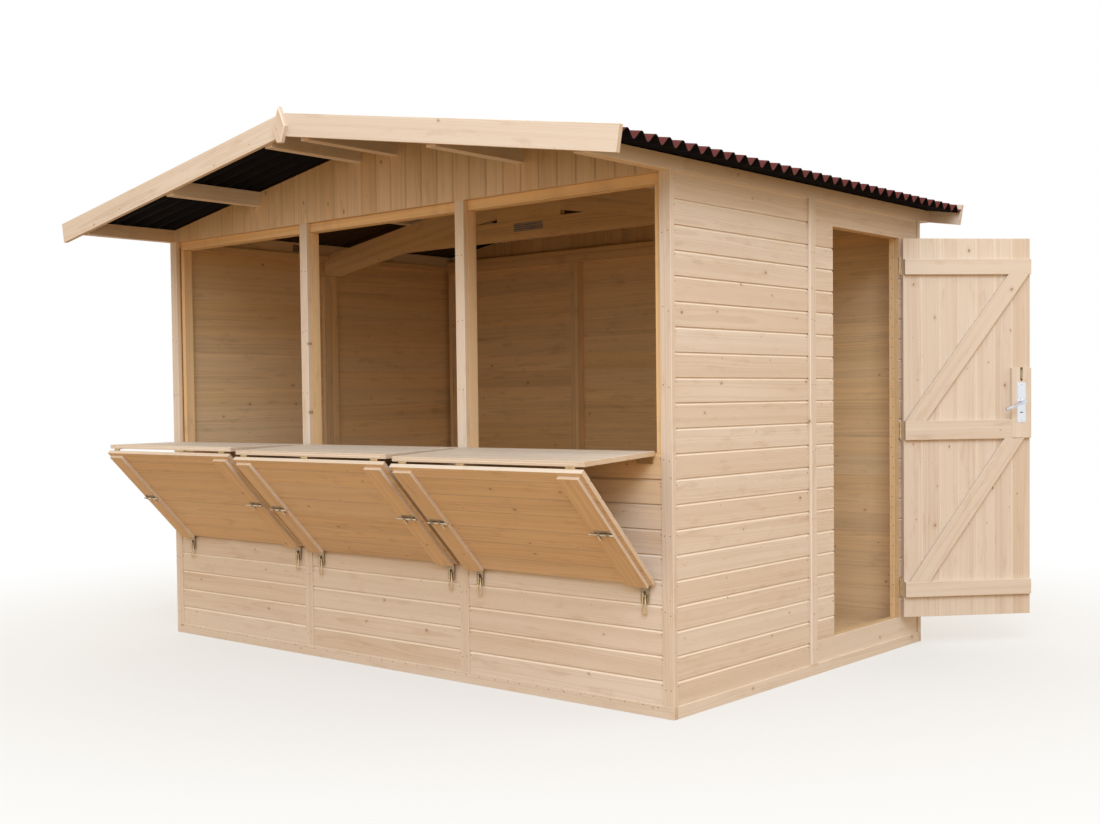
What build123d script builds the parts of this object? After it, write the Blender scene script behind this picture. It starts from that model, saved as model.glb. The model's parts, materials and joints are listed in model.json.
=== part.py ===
from build123d import *
import os
from math import acos, atan2, cos, degrees, hypot, pi, radians, sin, tan

# Market stall of planed softwood: shiplap walls on light frames, a low corrugated roof,
# three bi-fold serving shutters standing open at the front and a braced door in the right
# side wall.  Millimetres, +Z up, the serving front faces -Y.  The origin is at ground
# level under the middle of the walls.

# ---- Driving dimensions ----------------------------------------------------------------
WIDTH = 3000.0             # over the corner strips, along X
DEPTH = 2000.0             # over the corner strips, along Y
WALL_TOP = 1940.0          # top of the walls, underside of the eave purlins
COUNTER_TOP = 945.0        # top of the boards under the serving hatches
SILL_HEIGHT = 45.0
SILL_THICKNESS = 24.0

BOARD_PITCH = 90.0         # visible width of one shiplap board
BOARD_THICKNESS = 19.0
REBATE_DEPTH = 6.0         # shadow groove at each board joint
REBATE_HEIGHT = 2.5
BEVEL_HEIGHT = 10.0        # bevel on the upper edge of each board

STUD_WIDTH = 45.0          # frame timber, 45 x 28
STUD_THICKNESS = 28.0
STRIP_WIDTH = 48.0         # cover strips on the front, the rear and the corners
STRIP_THICKNESS = 24.0
SIDE_STRIP_THICKNESS = 12.0
SIDE_RECESS = 8.0          # side boards behind the end of the corner strips
FRONT_RECESS = 5.0         # front boards behind the face of the strips
HEADER_HEIGHT = 40.0
TOUCH = 0.5                # joint line between two like pieces
SEAT_GAP = 0.3             # between two pieces that rest together

FLOOR_TOP = 100.0
DECK_THICKNESS = 18.0
JOIST_COUNT = 5
DECK_GAP = 2.0             # deck to frame

ROOF_PITCH = 9.6           # degrees
ROOF_RISE_AT_WALL = 52.0   # roof plane over the wall top, at the outer face of the purlin
FRONT_OVERHANG = 480.0     # roof sheets beyond the front strips
REAR_OVERHANG = 100.0
EAVE_OVERHANG = 150.0
WAVE_COUNT = 33            # corrugations along the roof
WAVE_STEPS = 6             # flats that round one corrugation; an even number
WAVE_HEIGHT = 30.0         # between the middle lines of crest and valley
SHEET_THICKNESS = 3.0
SHEET_END_GAP = 3.0        # sheet to bargeboard
RIDGE_CAP_LEG = 120.0
PURLIN_WIDTH = 45.0
PURLIN_DEPTH = 62.0        # below the roof plane, at the middle of the purlin
MIDDLE_PURLIN_X = 802.0
RIDGE_PURLIN_X = 112.0
EAVE_SPLICE_Y = -913.0     # butt joint in each eave purlin
BARGE_WIDTH = 90.0
BARGE_THICKNESS = 20.0
BARGE_ABOVE_ROOF = 40.0    # upper edge over the roof plane
FINIAL_HEIGHT = 145.0
FINIAL_WIDTH = 76.0
FINIAL_FOOT = 24.0
FINIAL_THICKNESS = 20.0
FINIAL_ABOVE_BARGE = 24.0

RAFTER_TOP_DROP = 58.0     # truss: upper edge below the roof plane
RAFTER_DEPTH = 127.0
TRUSS_THICKNESS = 28.0
TRUSS_SEAT_HEIGHT = 1830.0
TIE_HEIGHT = 92.0
TRUSS_BLOCK_HALF = 200.0   # centre block of the truss
NAIL_PLATE = (180.0, 38.0)
NAIL_PLATE_THICKNESS = 1.5
EAVE_PLATE_Y = -166.0      # middle of the plate on each eave purlin
EAVE_PLATE_RISE = 8.0      # above the wall
TIE_PLATE_DROP = 35.0      # middle of the plate below the upper edge of the tie

SHUTTER_WIDTH = 928.0
SHUTTER_THICKNESS = 18.0
SHELF_DEPTH = 405.0
SHELF_UNDERSIDE = 936.0    # at the wall
SHELF_SAG = (0.2, 1.9, 3.0)     # degrees that each shelf drops outwards, left to right
SHELF_FIRST_JOINT = 72.0
FLAP_LENGTH = 583.0
FLAP_FIRST_JOINT = 53.0
FLAP_FOOT = 4.0            # lower edge of the flap to the cover strips
SHUTTER_PITCH = 89.5       # board pitch in the shutters
GROOVE_DEPTH = 4.0         # V grooves between boards
GROOVE_WIDTH = 9.0
JOINT_DEPTH = 1.5          # board joints on the inner faces
SHELF_LIP = (5.0, 8.0)     # rebate in the shelf's outer edge, depth and height
SHELF_LIP_END = 28.0
FLAP_BATTEN = (92.0, 15.0)      # width and thickness
FLAP_BATTEN_INSET = 18.0
FLAP_BATTEN_DROP = 15.0    # batten end from the flap's upper edge
SHUTTER_HINGE_RADIUS = 4.0
SHUTTER_HINGE_LEAF = 25.0
WALL_HINGE_WIDTH = 74.0
WALL_HINGE_INSET = 12.0    # hinge end from the side edge of the shelf
FOLD_HINGE_WIDTH = 40.0
FOLD_HINGE_INSET = 40.0
FOLD_HINGE_SHIFT = (110.0, -8.0, -106.0)    # middle fold hinge off centre, left to right
EDGE_GAP = 2.0             # shutter edge to hinge pin
HASP = (36.0, 78.0, 2.0)   # width, drop, thickness
HASP_INSET = (74.0, 50.0)  # hasps from the left and right edges of a flap
HASP_SLOT = (12.0, 24.0)
HASP_STRAP = 28.0          # leaf of the hasp on the flap
HASP_KNUCKLE_RADIUS = 2.5
STAPLE_DROP = 47.0         # staple below the knuckle of the hasp
STAPLE_HEIGHT = 17.0
STAPLE_PLATE = (28.0, 44.0, 2.0)
LINK_BAR = 4.0             # bar of the staples and snap hooks
LINK_PLAY = 1.5            # snap hook to staple and hasp
HOOK_WIDTH = 24.0
HOOK_LENGTH = 75.0
BOLT_PLATE = (76.0, 30.0, 1.5)  # barrel bolts on the flap battens
BOLT_RADIUS = 4.0
BOLT_LENGTH = 110.0
BOLT_SHIFT = 8.0           # rod off the middle of its plate
BOLT_LIFT = 1.0            # rod clear of its plate, in the guides
BOLT_FROM_TOP = 290.0
BOLT_INSET = (64.0, 56.0)  # middle of the plate from the left and right edges of a flap
BOLT_GUIDES = (-18.0, 22.0)      # from the middle of the plate towards the shutter's edge
GUIDE_WIDTH = 10.0
GUIDE_WALL = 2.0
BOLT_KNOB_AT = 26.0
BOLT_KNOB = 28.0
ROD_SIDES = 8              # flats of small round hardware

DOOR_Y0 = 187.0            # doorway in the right side wall, from the middle of the stall
DOOR_WIDTH = 610.0
DOOR_BOARDS_UP = 20        # the board joint that heads the doorway
DOOR_GAP = 5.0             # leaf to doorway
LATCH_GAP = 6.0            # leaf to doorway at the lock side
DOOR_OPEN = 139.0          # degrees from closed, as it stands
LEAF_JOINTS = 7
LEDGE_THICKNESS = 20.0
LEDGE_WIDTH = 68.0
MIDDLE_LEDGE_WIDTH = 86.0
BOTTOM_LEDGE_Z = 232.0
MIDDLE_LEDGE_Z = 939.0
TOP_LEDGE_DROP = 162.0     # lower edge of the top ledge below the top of the leaf
BRACE_WIDTH = 76.0
LOCK_BLOCK_WIDTH = 92.0
LOCK_BLOCK_Z = (941.0, 1257.0)
SPINDLE_Z = 1106.0
SPINDLE_FROM_EDGE = 51.0
SPINDLE_RADIUS = 5.0
LEDGE_INSET = 3.0          # ledge ends behind the lock edge of the leaf
LOCK_BLOCK_DEPTH = 20.0
PLATE_WIDTH = 40.0
PLATE_HEIGHT = 180.0
PLATE_Z = 1011.0
PLATE_THICKNESS = 2.0
LEVER_LENGTH = 105.0
LEVER_RADIUS = 7.0
LEVER_REACH = 45.0         # lever axis from the plate
LEVER_DROOP = 20.0         # degrees
HINGE_HEIGHT = 80.0
HINGE_LEAF = 30.0
HINGE_PLATE = 2.0
KNUCKLE_RADIUS = 5.0
PIN_RADIUS = 2.5
PIN_PLAY = 0.05
PIN_CLEAR = 6.0            # hinge pin outside the face of the side boards

# ---- Places worked out from them -------------------------------------------------------
HALF_W = WIDTH / 2
HALF_D = DEPTH / 2
STUD_FACE_Y = HALF_D - STRIP_THICKNESS            # outer face of the front and rear studs
FRONT_BOARD_FACE = HALF_D - FRONT_RECESS
END_BOARD_THICKNESS = FRONT_BOARD_FACE - STUD_FACE_Y
SIDE_FACE = HALF_W - SIDE_RECESS                  # outer face of the side boards
SIDE_STUD_FACE = SIDE_FACE - BOARD_THICKNESS
SIDE_INNER = SIDE_STUD_FACE - STUD_THICKNESS      # inner face of the side walls
BAY_POST_X = SIDE_INNER / 3                       # centres of the two inner posts
FRAME_INNER_Y = STUD_FACE_Y - STUD_WIDTH
RAIL_TOP = SILL_HEIGHT + STUD_THICKNESS           # top of the bottom rails
SIDE_RAIL_Z = WALL_TOP - STUD_THICKNESS
HEADER_Z = WALL_TOP - HEADER_HEIGHT
SLOPE = tan(radians(ROOF_PITCH))
ROOF_LENGTH = DEPTH + FRONT_OVERHANG + REAR_OVERHANG
ROOF_Y0 = -HALF_D - FRONT_OVERHANG
ROOF_Y1 = ROOF_Y0 + ROOF_LENGTH
WAVE_PITCH = (ROOF_LENGTH - 2 * SHEET_END_GAP) / WAVE_COUNT
DOOR_Y1 = DOOR_Y0 + DOOR_WIDTH
DOOR_Z0 = SILL_HEIGHT + BOARD_PITCH
DOOR_Z1 = SILL_HEIGHT + DOOR_BOARDS_UP * BOARD_PITCH
LEAF_Y0 = DOOR_Y0 + LATCH_GAP
LEAF_Y1 = DOOR_Y1 - DOOR_GAP
LEAF_WIDTH = LEAF_Y1 - LEAF_Y0
LEAF_Z0 = DOOR_Z0 + DOOR_GAP
LEAF_Z1 = DOOR_Z1 - DOOR_GAP
TOP_LEDGE_Z = LEAF_Z1 - TOP_LEDGE_DROP
LEAF_INNER = SIDE_STUD_FACE
PIN_X = SIDE_FACE + PIN_CLEAR
PIN_Y = DOOR_Y1


def roof_z(x):
    """Height of the roof plane, the upper side of the purlins."""
    return WALL_TOP + ROOF_RISE_AT_WALL + (HALF_W - abs(x)) * SLOPE


def block(x0, x1, y0, y1, z0, z1):
    size = (x1 - x0, y1 - y0, z1 - z0)
    return Pos((x0 + x1) / 2, (y0 + y1) / 2, (z0 + z1) / 2) * Box(*size)


def prism_y(points_xz, y0, y1):
    """Outline in the XZ plane, extruded along Y."""
    outline = Polyline([(x, y0, z) for x, z in points_xz], close=True)
    return extrude(make_face(outline), amount=y1 - y0, dir=(0, 1, 0))


def prism_x(points_yz, x0, x1):
    """Outline in the YZ plane, extruded along X."""
    outline = Polyline([(x0, y, z) for y, z in points_yz], close=True)
    return extrude(make_face(outline), amount=x1 - x0, dir=(1, 0, 0))


def prism_z(points_xy, z0, z1):
    """Outline in the XY plane, extruded along Z."""
    outline = Polyline([(x, y, z0) for x, y in points_xy], close=True)
    return extrude(make_face(outline), amount=z1 - z0, dir=(0, 0, 1))


def mirrored_x(part):
    return mirror(part, about=Plane.YZ)


def mirrored_y(part):
    return mirror(part, about=Plane.XZ)


def save(name, *solids):
    """One STEP file for a node of one or more solids that don't touch."""
    loose = [solid for item in solids for solid in item.solids()]
    shape = loose[0] if len(loose) == 1 else Compound(children=loose)
    shape.label = name
    export_step(shape, f"parts/{name}.step")


# ---- Boards ----------------------------------------------------------------------------
def joint_heights(low, high):
    """Board joints between two heights, counted up from the sill."""
    count = int((WALL_TOP - SILL_HEIGHT) // BOARD_PITCH)
    joints = [SILL_HEIGHT + k * BOARD_PITCH for k in range(1, count)]
    return [z for z in joints if low + BEVEL_HEIGHT < z < high - REBATE_HEIGHT]


def shiplap(x0, x1, face_y, thickness, z0, z1):
    """Shiplap panel facing -Y: a rebated groove under each board, a bevel on the next."""
    face = [(face_y, z1)]
    for z in reversed(joint_heights(z0, z1)):
        back = face_y + REBATE_DEPTH
        face += [(face_y, z), (back, z), (back, z - REBATE_HEIGHT), (face_y, z - BEVEL_HEIGHT)]
    face.append((face_y, z0))
    return prism_x(face + [(face_y + thickness, z0), (face_y + thickness, z1)], x0, x1)


def side_shiplap(y0, y1, z0, z1):
    """Shiplap panel of the right side wall, facing +X."""
    panel = shiplap(y0, y1, -SIDE_FACE, BOARD_THICKNESS, z0, z1)
    return Rot(0, 0, 90) * panel


def front_bays():
    """Clear ranges of X between the cover strips, left to right."""
    corner = HALF_W - STRIP_WIDTH
    inner = BAY_POST_X + STRIP_WIDTH / 2
    near = BAY_POST_X - STRIP_WIDTH / 2
    return [(-corner, -inner), (-near, near), (inner, corner)]


def wall_boards():
    front = [shiplap(a, b, -FRONT_BOARD_FACE, END_BOARD_THICKNESS, SILL_HEIGHT, COUNTER_TOP)
             for a, b in front_bays()]
    save("front_boards", *front)
    rear = [mirrored_y(shiplap(a, b, -FRONT_BOARD_FACE, END_BOARD_THICKNESS, SILL_HEIGHT, WALL_TOP))
            for a, b in front_bays()]
    save("rear_boards", *rear)
    end, half = STUD_FACE_Y, TOUCH / 2
    front_panel = side_shiplap(-end, -half, SILL_HEIGHT, WALL_TOP)
    rear_panel = side_shiplap(half, end, SILL_HEIGHT, WALL_TOP)
    save("left_boards", mirrored_x(front_panel), mirrored_x(rear_panel))
    save("right_front_boards", front_panel)
    save("right_door_end_boards", side_shiplap(half, end, SILL_HEIGHT, DOOR_Z0),
         side_shiplap(half, end, DOOR_Z1, WALL_TOP))
    save("right_door_side_boards", side_shiplap(half, DOOR_Y0, DOOR_Z0, DOOR_Z1),
         side_shiplap(DOOR_Y1, end, DOOR_Z0, DOOR_Z1))


# ---- Base and floor --------------------------------------------------------------------
def base():
    end_sill = block(-HALF_W, HALF_W, -HALF_D, -STUD_FACE_Y, 0, SILL_HEIGHT)
    y = STUD_FACE_Y - TOUCH
    side_sill = block(HALF_W - SILL_THICKNESS, HALF_W, -y, y, 0, SILL_HEIGHT)
    save("sills", end_sill, mirrored_y(end_sill), side_sill, mirrored_x(side_sill))

    reach = HALF_W - SILL_THICKNESS
    end_bearer = block(-reach, reach, -STUD_FACE_Y, -FRAME_INNER_Y, 0, SILL_HEIGHT)
    y = FRAME_INNER_Y - TOUCH
    side_bearer = block(SIDE_INNER, reach, -y, y, 0, SILL_HEIGHT)
    timbers = [end_bearer, mirrored_y(end_bearer), side_bearer, mirrored_x(side_bearer)]
    joist_top = FLOOR_TOP - DECK_THICKNESS
    reach = SIDE_INNER - STUD_WIDTH
    for k in range(JOIST_COUNT):
        x = -reach + 2 * reach * k / (JOIST_COUNT - 1)
        timbers.append(block(x - STUD_WIDTH / 2, x + STUD_WIDTH / 2, -y, y, 0, joist_top))
    save("floor_frame", *timbers)
    x, y = SIDE_INNER - DECK_GAP, FRAME_INNER_Y - DECK_GAP
    save("floor_deck", block(-x, x, -y, y, joist_top, FLOOR_TOP))


# ---- Wall frames -----------------------------------------------------------------------
def end_stud_edges():
    """Left edges of the front studs: one at each corner, a pair at each inner post."""
    half = TOUCH / 2
    pairs = [side * BAY_POST_X + shift for side in (-1, 1)
             for shift in (-half - STUD_THICKNESS, half)]
    return [-SIDE_INNER] + pairs + [SIDE_INNER - STUD_THICKNESS]


def frames():
    ends = [block(x, x + STUD_THICKNESS, -STUD_FACE_Y, -FRAME_INNER_Y, RAIL_TOP, HEADER_Z)
            for x in end_stud_edges()]
    save("end_studs", *ends, *[mirrored_y(stud) for stud in ends])

    def side_stud(y, top=SIDE_RAIL_Z):
        return block(SIDE_INNER, SIDE_STUD_FACE, y, y + STUD_WIDTH, RAIL_TOP, top)
    half = TOUCH / 2
    pair = [side_stud(-half - STUD_WIDTH, TRUSS_SEAT_HEIGHT), side_stud(half, TRUSS_SEAT_HEIGHT)]
    jambs = [side_stud(DOOR_Y0 - STUD_WIDTH), side_stud(DOOR_Y1)]
    save("side_studs", *pair, *jambs, *[mirrored_x(stud) for stud in pair])

    header = block(-SIDE_INNER, SIDE_INNER, -STUD_FACE_Y, -FRAME_INNER_Y, HEADER_Z, WALL_TOP)
    foot = block(-SIDE_INNER, SIDE_INNER, -STUD_FACE_Y, -FRAME_INNER_Y, SILL_HEIGHT, RAIL_TOP)
    save("end_rails", header, foot, mirrored_y(header), mirrored_y(foot))
    top = block(SIDE_INNER, SIDE_STUD_FACE, -STUD_FACE_Y, STUD_FACE_Y, SIDE_RAIL_Z, WALL_TOP)
    seat = TRUSS_THICKNESS / 2 + TOUCH
    top -= block(SIDE_INNER, SIDE_STUD_FACE, -seat, seat, SIDE_RAIL_Z, WALL_TOP)
    low = block(SIDE_INNER, SIDE_STUD_FACE, -STUD_FACE_Y, STUD_FACE_Y, SILL_HEIGHT, RAIL_TOP)
    save("side_rails", top, low, mirrored_x(top), mirrored_x(low))

    edges = end_stud_edges()
    opening = []
    for left, right in ((0, 1), (2, 3), (4, 5)):
        opening.append(block(edges[left] + STUD_THICKNESS, edges[right], -STUD_FACE_Y,
                             -FRAME_INNER_Y, COUNTER_TOP - STUD_THICKNESS, COUNTER_TOP))
    for low, high in ((RAIL_TOP, DOOR_Z0), (DOOR_Z1, DOOR_Z1 + STUD_THICKNESS)):
        opening.append(block(SIDE_INNER, SIDE_STUD_FACE, DOOR_Y0, DOOR_Y1, low, high))
    save("opening_rails", *opening)


def cover_strips():
    strips = []
    half = STRIP_WIDTH / 2
    for x in (-HALF_W + half, -BAY_POST_X, BAY_POST_X, HALF_W - half):
        strip = block(x - half, x + half, -HALF_D, -STUD_FACE_Y, SILL_HEIGHT, WALL_TOP)
        strips += [strip, mirrored_y(strip)]
    side = block(SIDE_FACE, SIDE_FACE + SIDE_STRIP_THICKNESS, -half, half, SILL_HEIGHT, WALL_TOP)
    side = fillet(side.edges().filter_by(Axis.Z).group_by(Axis.X)[-1], SIDE_STRIP_THICKNESS / 3)
    save("cover_strips", *strips, side, mirrored_x(side))


# ---- Roof ------------------------------------------------------------------------------
def purlin(x, z0, y0=ROOF_Y0, y1=ROOF_Y1):
    a, b = x - PURLIN_WIDTH / 2, x + PURLIN_WIDTH / 2
    return prism_y([(a, z0), (b, z0), (b, roof_z(b)), (a, roof_z(a))], y0, y1)


def purlins():
    """Right-hand purlins: the spliced eave purlin, the middle one and the ridge one."""
    eave_x = HALF_W - PURLIN_WIDTH / 2
    half = TOUCH / 2
    return [purlin(eave_x, WALL_TOP, ROOF_Y0, EAVE_SPLICE_Y - half),
            purlin(eave_x, WALL_TOP, EAVE_SPLICE_Y + half, ROOF_Y1),
            purlin(MIDDLE_PURLIN_X, roof_z(MIDDLE_PURLIN_X) - PURLIN_DEPTH),
            purlin(RIDGE_PURLIN_X, roof_z(RIDGE_PURLIN_X) - PURLIN_DEPTH)]


def gable():
    """Front gable: vertical boards with V joints on a bottom rail, notched for the purlins."""
    reach = HALF_W - PURLIN_WIDTH
    outline = [(-reach, WALL_TOP), (reach, WALL_TOP), (reach, roof_z(reach)), (0, roof_z(0)),
               (-reach, roof_z(reach))]
    boards = prism_y(outline, -HALF_D, -STUD_FACE_Y)
    count = int((2 * reach - GROOVE_WIDTH) // BOARD_PITCH)
    start = -count * BOARD_PITCH / 2
    plan = [(-reach, -HALF_D)]
    for k in range(count + 1):
        x = start + k * BOARD_PITCH
        plan += [(x - GROOVE_WIDTH / 2, -HALF_D), (x, -HALF_D + GROOVE_DEPTH),
                 (x + GROOVE_WIDTH / 2, -HALF_D)]
    plan += [(reach, -HALF_D), (reach, -STUD_FACE_Y), (-reach, -STUD_FACE_Y)]
    boards &= prism_z(plan, WALL_TOP, roof_z(0))
    rail = block(-reach, reach, -STUD_FACE_Y, -FRAME_INNER_Y, WALL_TOP, WALL_TOP + STUD_THICKNESS)
    panel = boards + rail
    for beam in purlins()[2:]:
        panel -= beam
        panel -= mirrored_x(beam)
    return panel


def wave_point(turn, offset):
    """Point of the corrugation in the YZ plane; turn counts waves, offset is along the normal."""
    angle = 2 * pi * turn
    rise = WAVE_HEIGHT / 2
    slope = 2 * pi * rise / WAVE_PITCH * cos(angle)
    length = hypot(1, slope)
    y = ROOF_Y0 + SHEET_END_GAP + turn * WAVE_PITCH
    # the first and last points are cut square
    along = 0 if turn in (0, WAVE_COUNT) else -slope * offset / length
    return y + along, rise * (1 + sin(angle)) + offset / length


def corrugated_sheet():
    """Right-hand roof sheet: the sine corrugation, extruded down the slope."""
    half = SHEET_THICKNESS / 2
    length = (HALF_W + EAVE_OVERHANG) / cos(radians(ROOF_PITCH))
    # the flats meet at the crests and the valleys
    count = WAVE_COUNT * WAVE_STEPS
    turns = [0, *((k + 0.5) / WAVE_STEPS for k in range(count)), WAVE_COUNT]
    upper = [wave_point(turn, half) for turn in turns]
    lower = [wave_point(turn, -half) for turn in reversed(turns)]
    sheet = prism_x(upper + lower, 0, length)
    return Pos(TOUCH, 0, roof_z(0) + half + SEAT_GAP) * Rot(0, ROOF_PITCH, 0) * sheet


def ridge_cap():
    """Folded cap over the sheets' crests."""
    low = (WAVE_HEIGHT + SHEET_THICKNESS + 2 * SEAT_GAP) / cos(radians(ROOF_PITCH))
    high = low + SHEET_THICKNESS
    reach = RIDGE_CAP_LEG

    def at(x, lift):
        return (x, roof_z(x) + lift)
    outline = [at(-reach, low), at(0, low), at(reach, low), at(reach, high), at(0, high),
               at(-reach, high)]
    return prism_y(outline, ROOF_Y0, ROOF_Y1)


def bargeboard(y0, y1):
    """Right-hand bargeboard with a plumb cut at the ridge and a square cut at the eave."""
    upper = roof_z(0) + BARGE_ABOVE_ROOF
    turn = radians(ROOF_PITCH)
    x_end = HALF_W + EAVE_OVERHANG + 6
    foot_x = x_end - BARGE_WIDTH * sin(turn)
    foot_z = upper - x_end * SLOPE - BARGE_WIDTH * cos(turn)
    depth = BARGE_WIDTH / cos(turn)
    half = TOUCH / 2
    outline = [(half, upper - half * SLOPE), (x_end, upper - x_end * SLOPE), (foot_x, foot_z),
               (half, upper - depth - half * SLOPE)]
    return prism_y(outline, y0, y1)


def finial(y0, y1):
    """Kite-shaped ridge ornament."""
    top = roof_z(0) + BARGE_ABOVE_ROOF + FINIAL_ABOVE_BARGE
    low = top - FINIAL_HEIGHT
    waist = low + 0.44 * FINIAL_HEIGHT
    half, foot = FINIAL_WIDTH / 2, FINIAL_FOOT / 2
    outline = [(0, top), (half, waist), (foot, low), (-foot, low), (-half, waist)]
    return chamfer(prism_y(outline, y0, y1).faces().sort_by(Axis.Y)[0].edges(), 3)


def roof():
    beams = purlins()
    save("purlins", *beams, *[mirrored_x(beam) for beam in beams])
    front_gable = gable()
    save("gables", front_gable, mirrored_y(front_gable))
    sheet = corrugated_sheet()
    save("roof_sheet_right", sheet)
    save("roof_sheet_left", mirrored_x(sheet))
    save("ridge_cap", ridge_cap())
    boards = [bargeboard(y, y + BARGE_THICKNESS) for y in (ROOF_Y0 - BARGE_THICKNESS, ROOF_Y1)]
    save("bargeboards", *boards, *[mirrored_x(board) for board in boards])
    front = ROOF_Y0 - BARGE_THICKNESS
    rear = ROOF_Y1 + BARGE_THICKNESS
    rear_finial = mirror(finial(-rear - FINIAL_THICKNESS, -rear), about=Plane.XZ)
    save("finials", finial(front - FINIAL_THICKNESS, front), rear_finial)


def truss():
    """Middle truss: two rafters, a tie and a centre block in one plane, and the nail plates."""
    half = TRUSS_THICKNESS / 2
    gap = TOUCH / 2

    def upper(x):
        return roof_z(x) - RAFTER_TOP_DROP

    def lower(x):
        return upper(x) - RAFTER_DEPTH
    heel = SIDE_STUD_FACE - TOUCH
    seat_x = (lower(0) - TRUSS_SEAT_HEIGHT) / SLOPE
    inner = TRUSS_BLOCK_HALF + gap
    rafter = prism_y([(inner, upper(inner)), (heel, upper(heel)), (heel, TRUSS_SEAT_HEIGHT),
                      (seat_x, TRUSS_SEAT_HEIGHT), (inner, lower(inner))], -half, half)
    for beam in purlins()[1:]:
        rafter -= beam
    tie_low = lower(seat_x - 480)
    tie_top = tie_low + TIE_HEIGHT
    reach_low = (lower(0) - tie_low) / SLOPE - gap
    reach_top = (lower(0) - tie_top) / SLOPE - gap
    tie = prism_y([(-reach_low, tie_low), (reach_low, tie_low), (reach_top, tie_top),
                   (-reach_top, tie_top)], -half, half)
    side = TRUSS_BLOCK_HALF - gap
    centre = prism_y([(-side, tie_top + gap), (side, tie_top + gap), (side, upper(side)),
                      (0, upper(0)), (-side, upper(side))], -half, half)
    ridge = purlins()[3]
    centre = centre - ridge - mirrored_x(ridge)
    save("truss_rafters", rafter, mirrored_x(rafter))
    save("truss_tie", tie)
    save("truss_block", centre)
    w, h = NAIL_PLATE
    z = tie_top - TIE_PLATE_DROP
    front = block(-w / 2, w / 2, -half - NAIL_PLATE_THICKNESS, -half, z - h / 2, z + h / 2)
    face = HALF_W - PURLIN_WIDTH
    low = WALL_TOP + EAVE_PLATE_RISE
    side = block(face - NAIL_PLATE_THICKNESS, face, EAVE_PLATE_Y - w / 2, EAVE_PLATE_Y + w / 2,
                 low, low + h)
    save("nail_plates", front, mirrored_y(front), side, mirrored_x(side))


# ---- Serving shutters ------------------------------------------------------------------
def bay_centres():
    return [(a + b) / 2 for a, b in ((-SIDE_INNER, -BAY_POST_X), (-BAY_POST_X, BAY_POST_X),
                                     (BAY_POST_X, SIDE_INNER))]


def shutter_board(length, first_joint):
    """Shutter leaf from y = 0 to its length; V grooves on the lower face, fine joints above."""
    joints = []
    y = first_joint
    while y < length - GROOVE_WIDTH:
        joints.append(y)
        y += SHUTTER_PITCH
    half, top = GROOVE_WIDTH / 2, SHUTTER_THICKNESS
    points = [(0, top), (0, 0)]
    for y in joints:
        points += [(y - half, 0), (y, GROOVE_DEPTH), (y + half, 0)]
    points += [(length, 0), (length, top)]
    for y in reversed(joints):
        points += [(y + JOINT_DEPTH, top), (y, top - JOINT_DEPTH), (y - JOINT_DEPTH, top)]
    return prism_x(points, -SHUTTER_WIDTH / 2, SHUTTER_WIDTH / 2)


def rod(radius, length):
    """Small round bar along Z, middle at the origin."""
    return extrude(RegularPolygon(radius, ROD_SIDES), amount=length / 2, both=True)


def rod_x(radius, x, length, y=0.0, z=0.0):
    return Pos(x, y, z) * Rot(0, 90, 0) * rod(radius, length)


class Bay:
    """Frames of one shutter: the wall hinge, the shelf, the fold and the flap, X along each."""

    def __init__(self, centre, sag):
        self.centre = centre
        lift = SHUTTER_HINGE_RADIUS
        hinge_y = -FRONT_BOARD_FACE - lift
        hinge_z = SHELF_UNDERSIDE - lift
        reach = SHELF_DEPTH + 2 * EDGE_GAP
        fold_y = hinge_y - reach * cos(radians(sag))
        fold_z = hinge_z - reach * sin(radians(sag))
        # the flap leans until its back corner stands off the strips:
        # span * cos(lean) - lift * sin(lean) = run
        span = EDGE_GAP + FLAP_LENGTH
        run = -HALF_D - FLAP_FOOT - fold_y
        lean = acos(run / hypot(span, lift)) - atan2(lift, span)
        pin = Pos(centre, hinge_y, hinge_z)
        self.wall = pin * Rot(-90, 0, 0)
        self.shelf = pin * Rot(sag, 0, 0)
        self.fold = self.shelf * Pos(0, -reach, 0)
        self.flap = Pos(centre, fold_y, fold_z) * Rot(-degrees(lean), 0, 0)


def shelf_leaf():
    board = shutter_board(SHELF_DEPTH, SHELF_FIRST_JOINT)
    board = Pos(0, -EDGE_GAP, SHUTTER_HINGE_RADIUS) * mirrored_y(board)
    depth, height = SHELF_LIP
    outer = -EDGE_GAP - SHELF_DEPTH
    top = SHUTTER_HINGE_RADIUS + SHUTTER_THICKNESS
    end = SHUTTER_WIDTH / 2 - SHELF_LIP_END
    return board - block(-end, end, outer, outer + depth, top - height, top)


def flap_leaf():
    board = mirror(shutter_board(FLAP_LENGTH, FLAP_FIRST_JOINT), about=Plane.XY)
    return Pos(0, EDGE_GAP, -SHUTTER_HINGE_RADIUS) * board


def shutter_hinge(x, width, first, second):
    """Hinge on a pin along X; each leaf is a frame, its way along Y and the face it lies on."""
    lift = SHUTTER_HINGE_RADIUS
    hinge = first[0] * rod_x(lift, x, width)
    for frame, way, face in (first, second):
        y0, y1 = sorted((0, way * SHUTTER_HINGE_LEAF))
        z0, z1 = sorted((face * lift, face * (lift - HINGE_PLATE)))
        hinge += frame * block(x - width / 2, x + width / 2, y0, y1, z0, z1)
    return hinge


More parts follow.
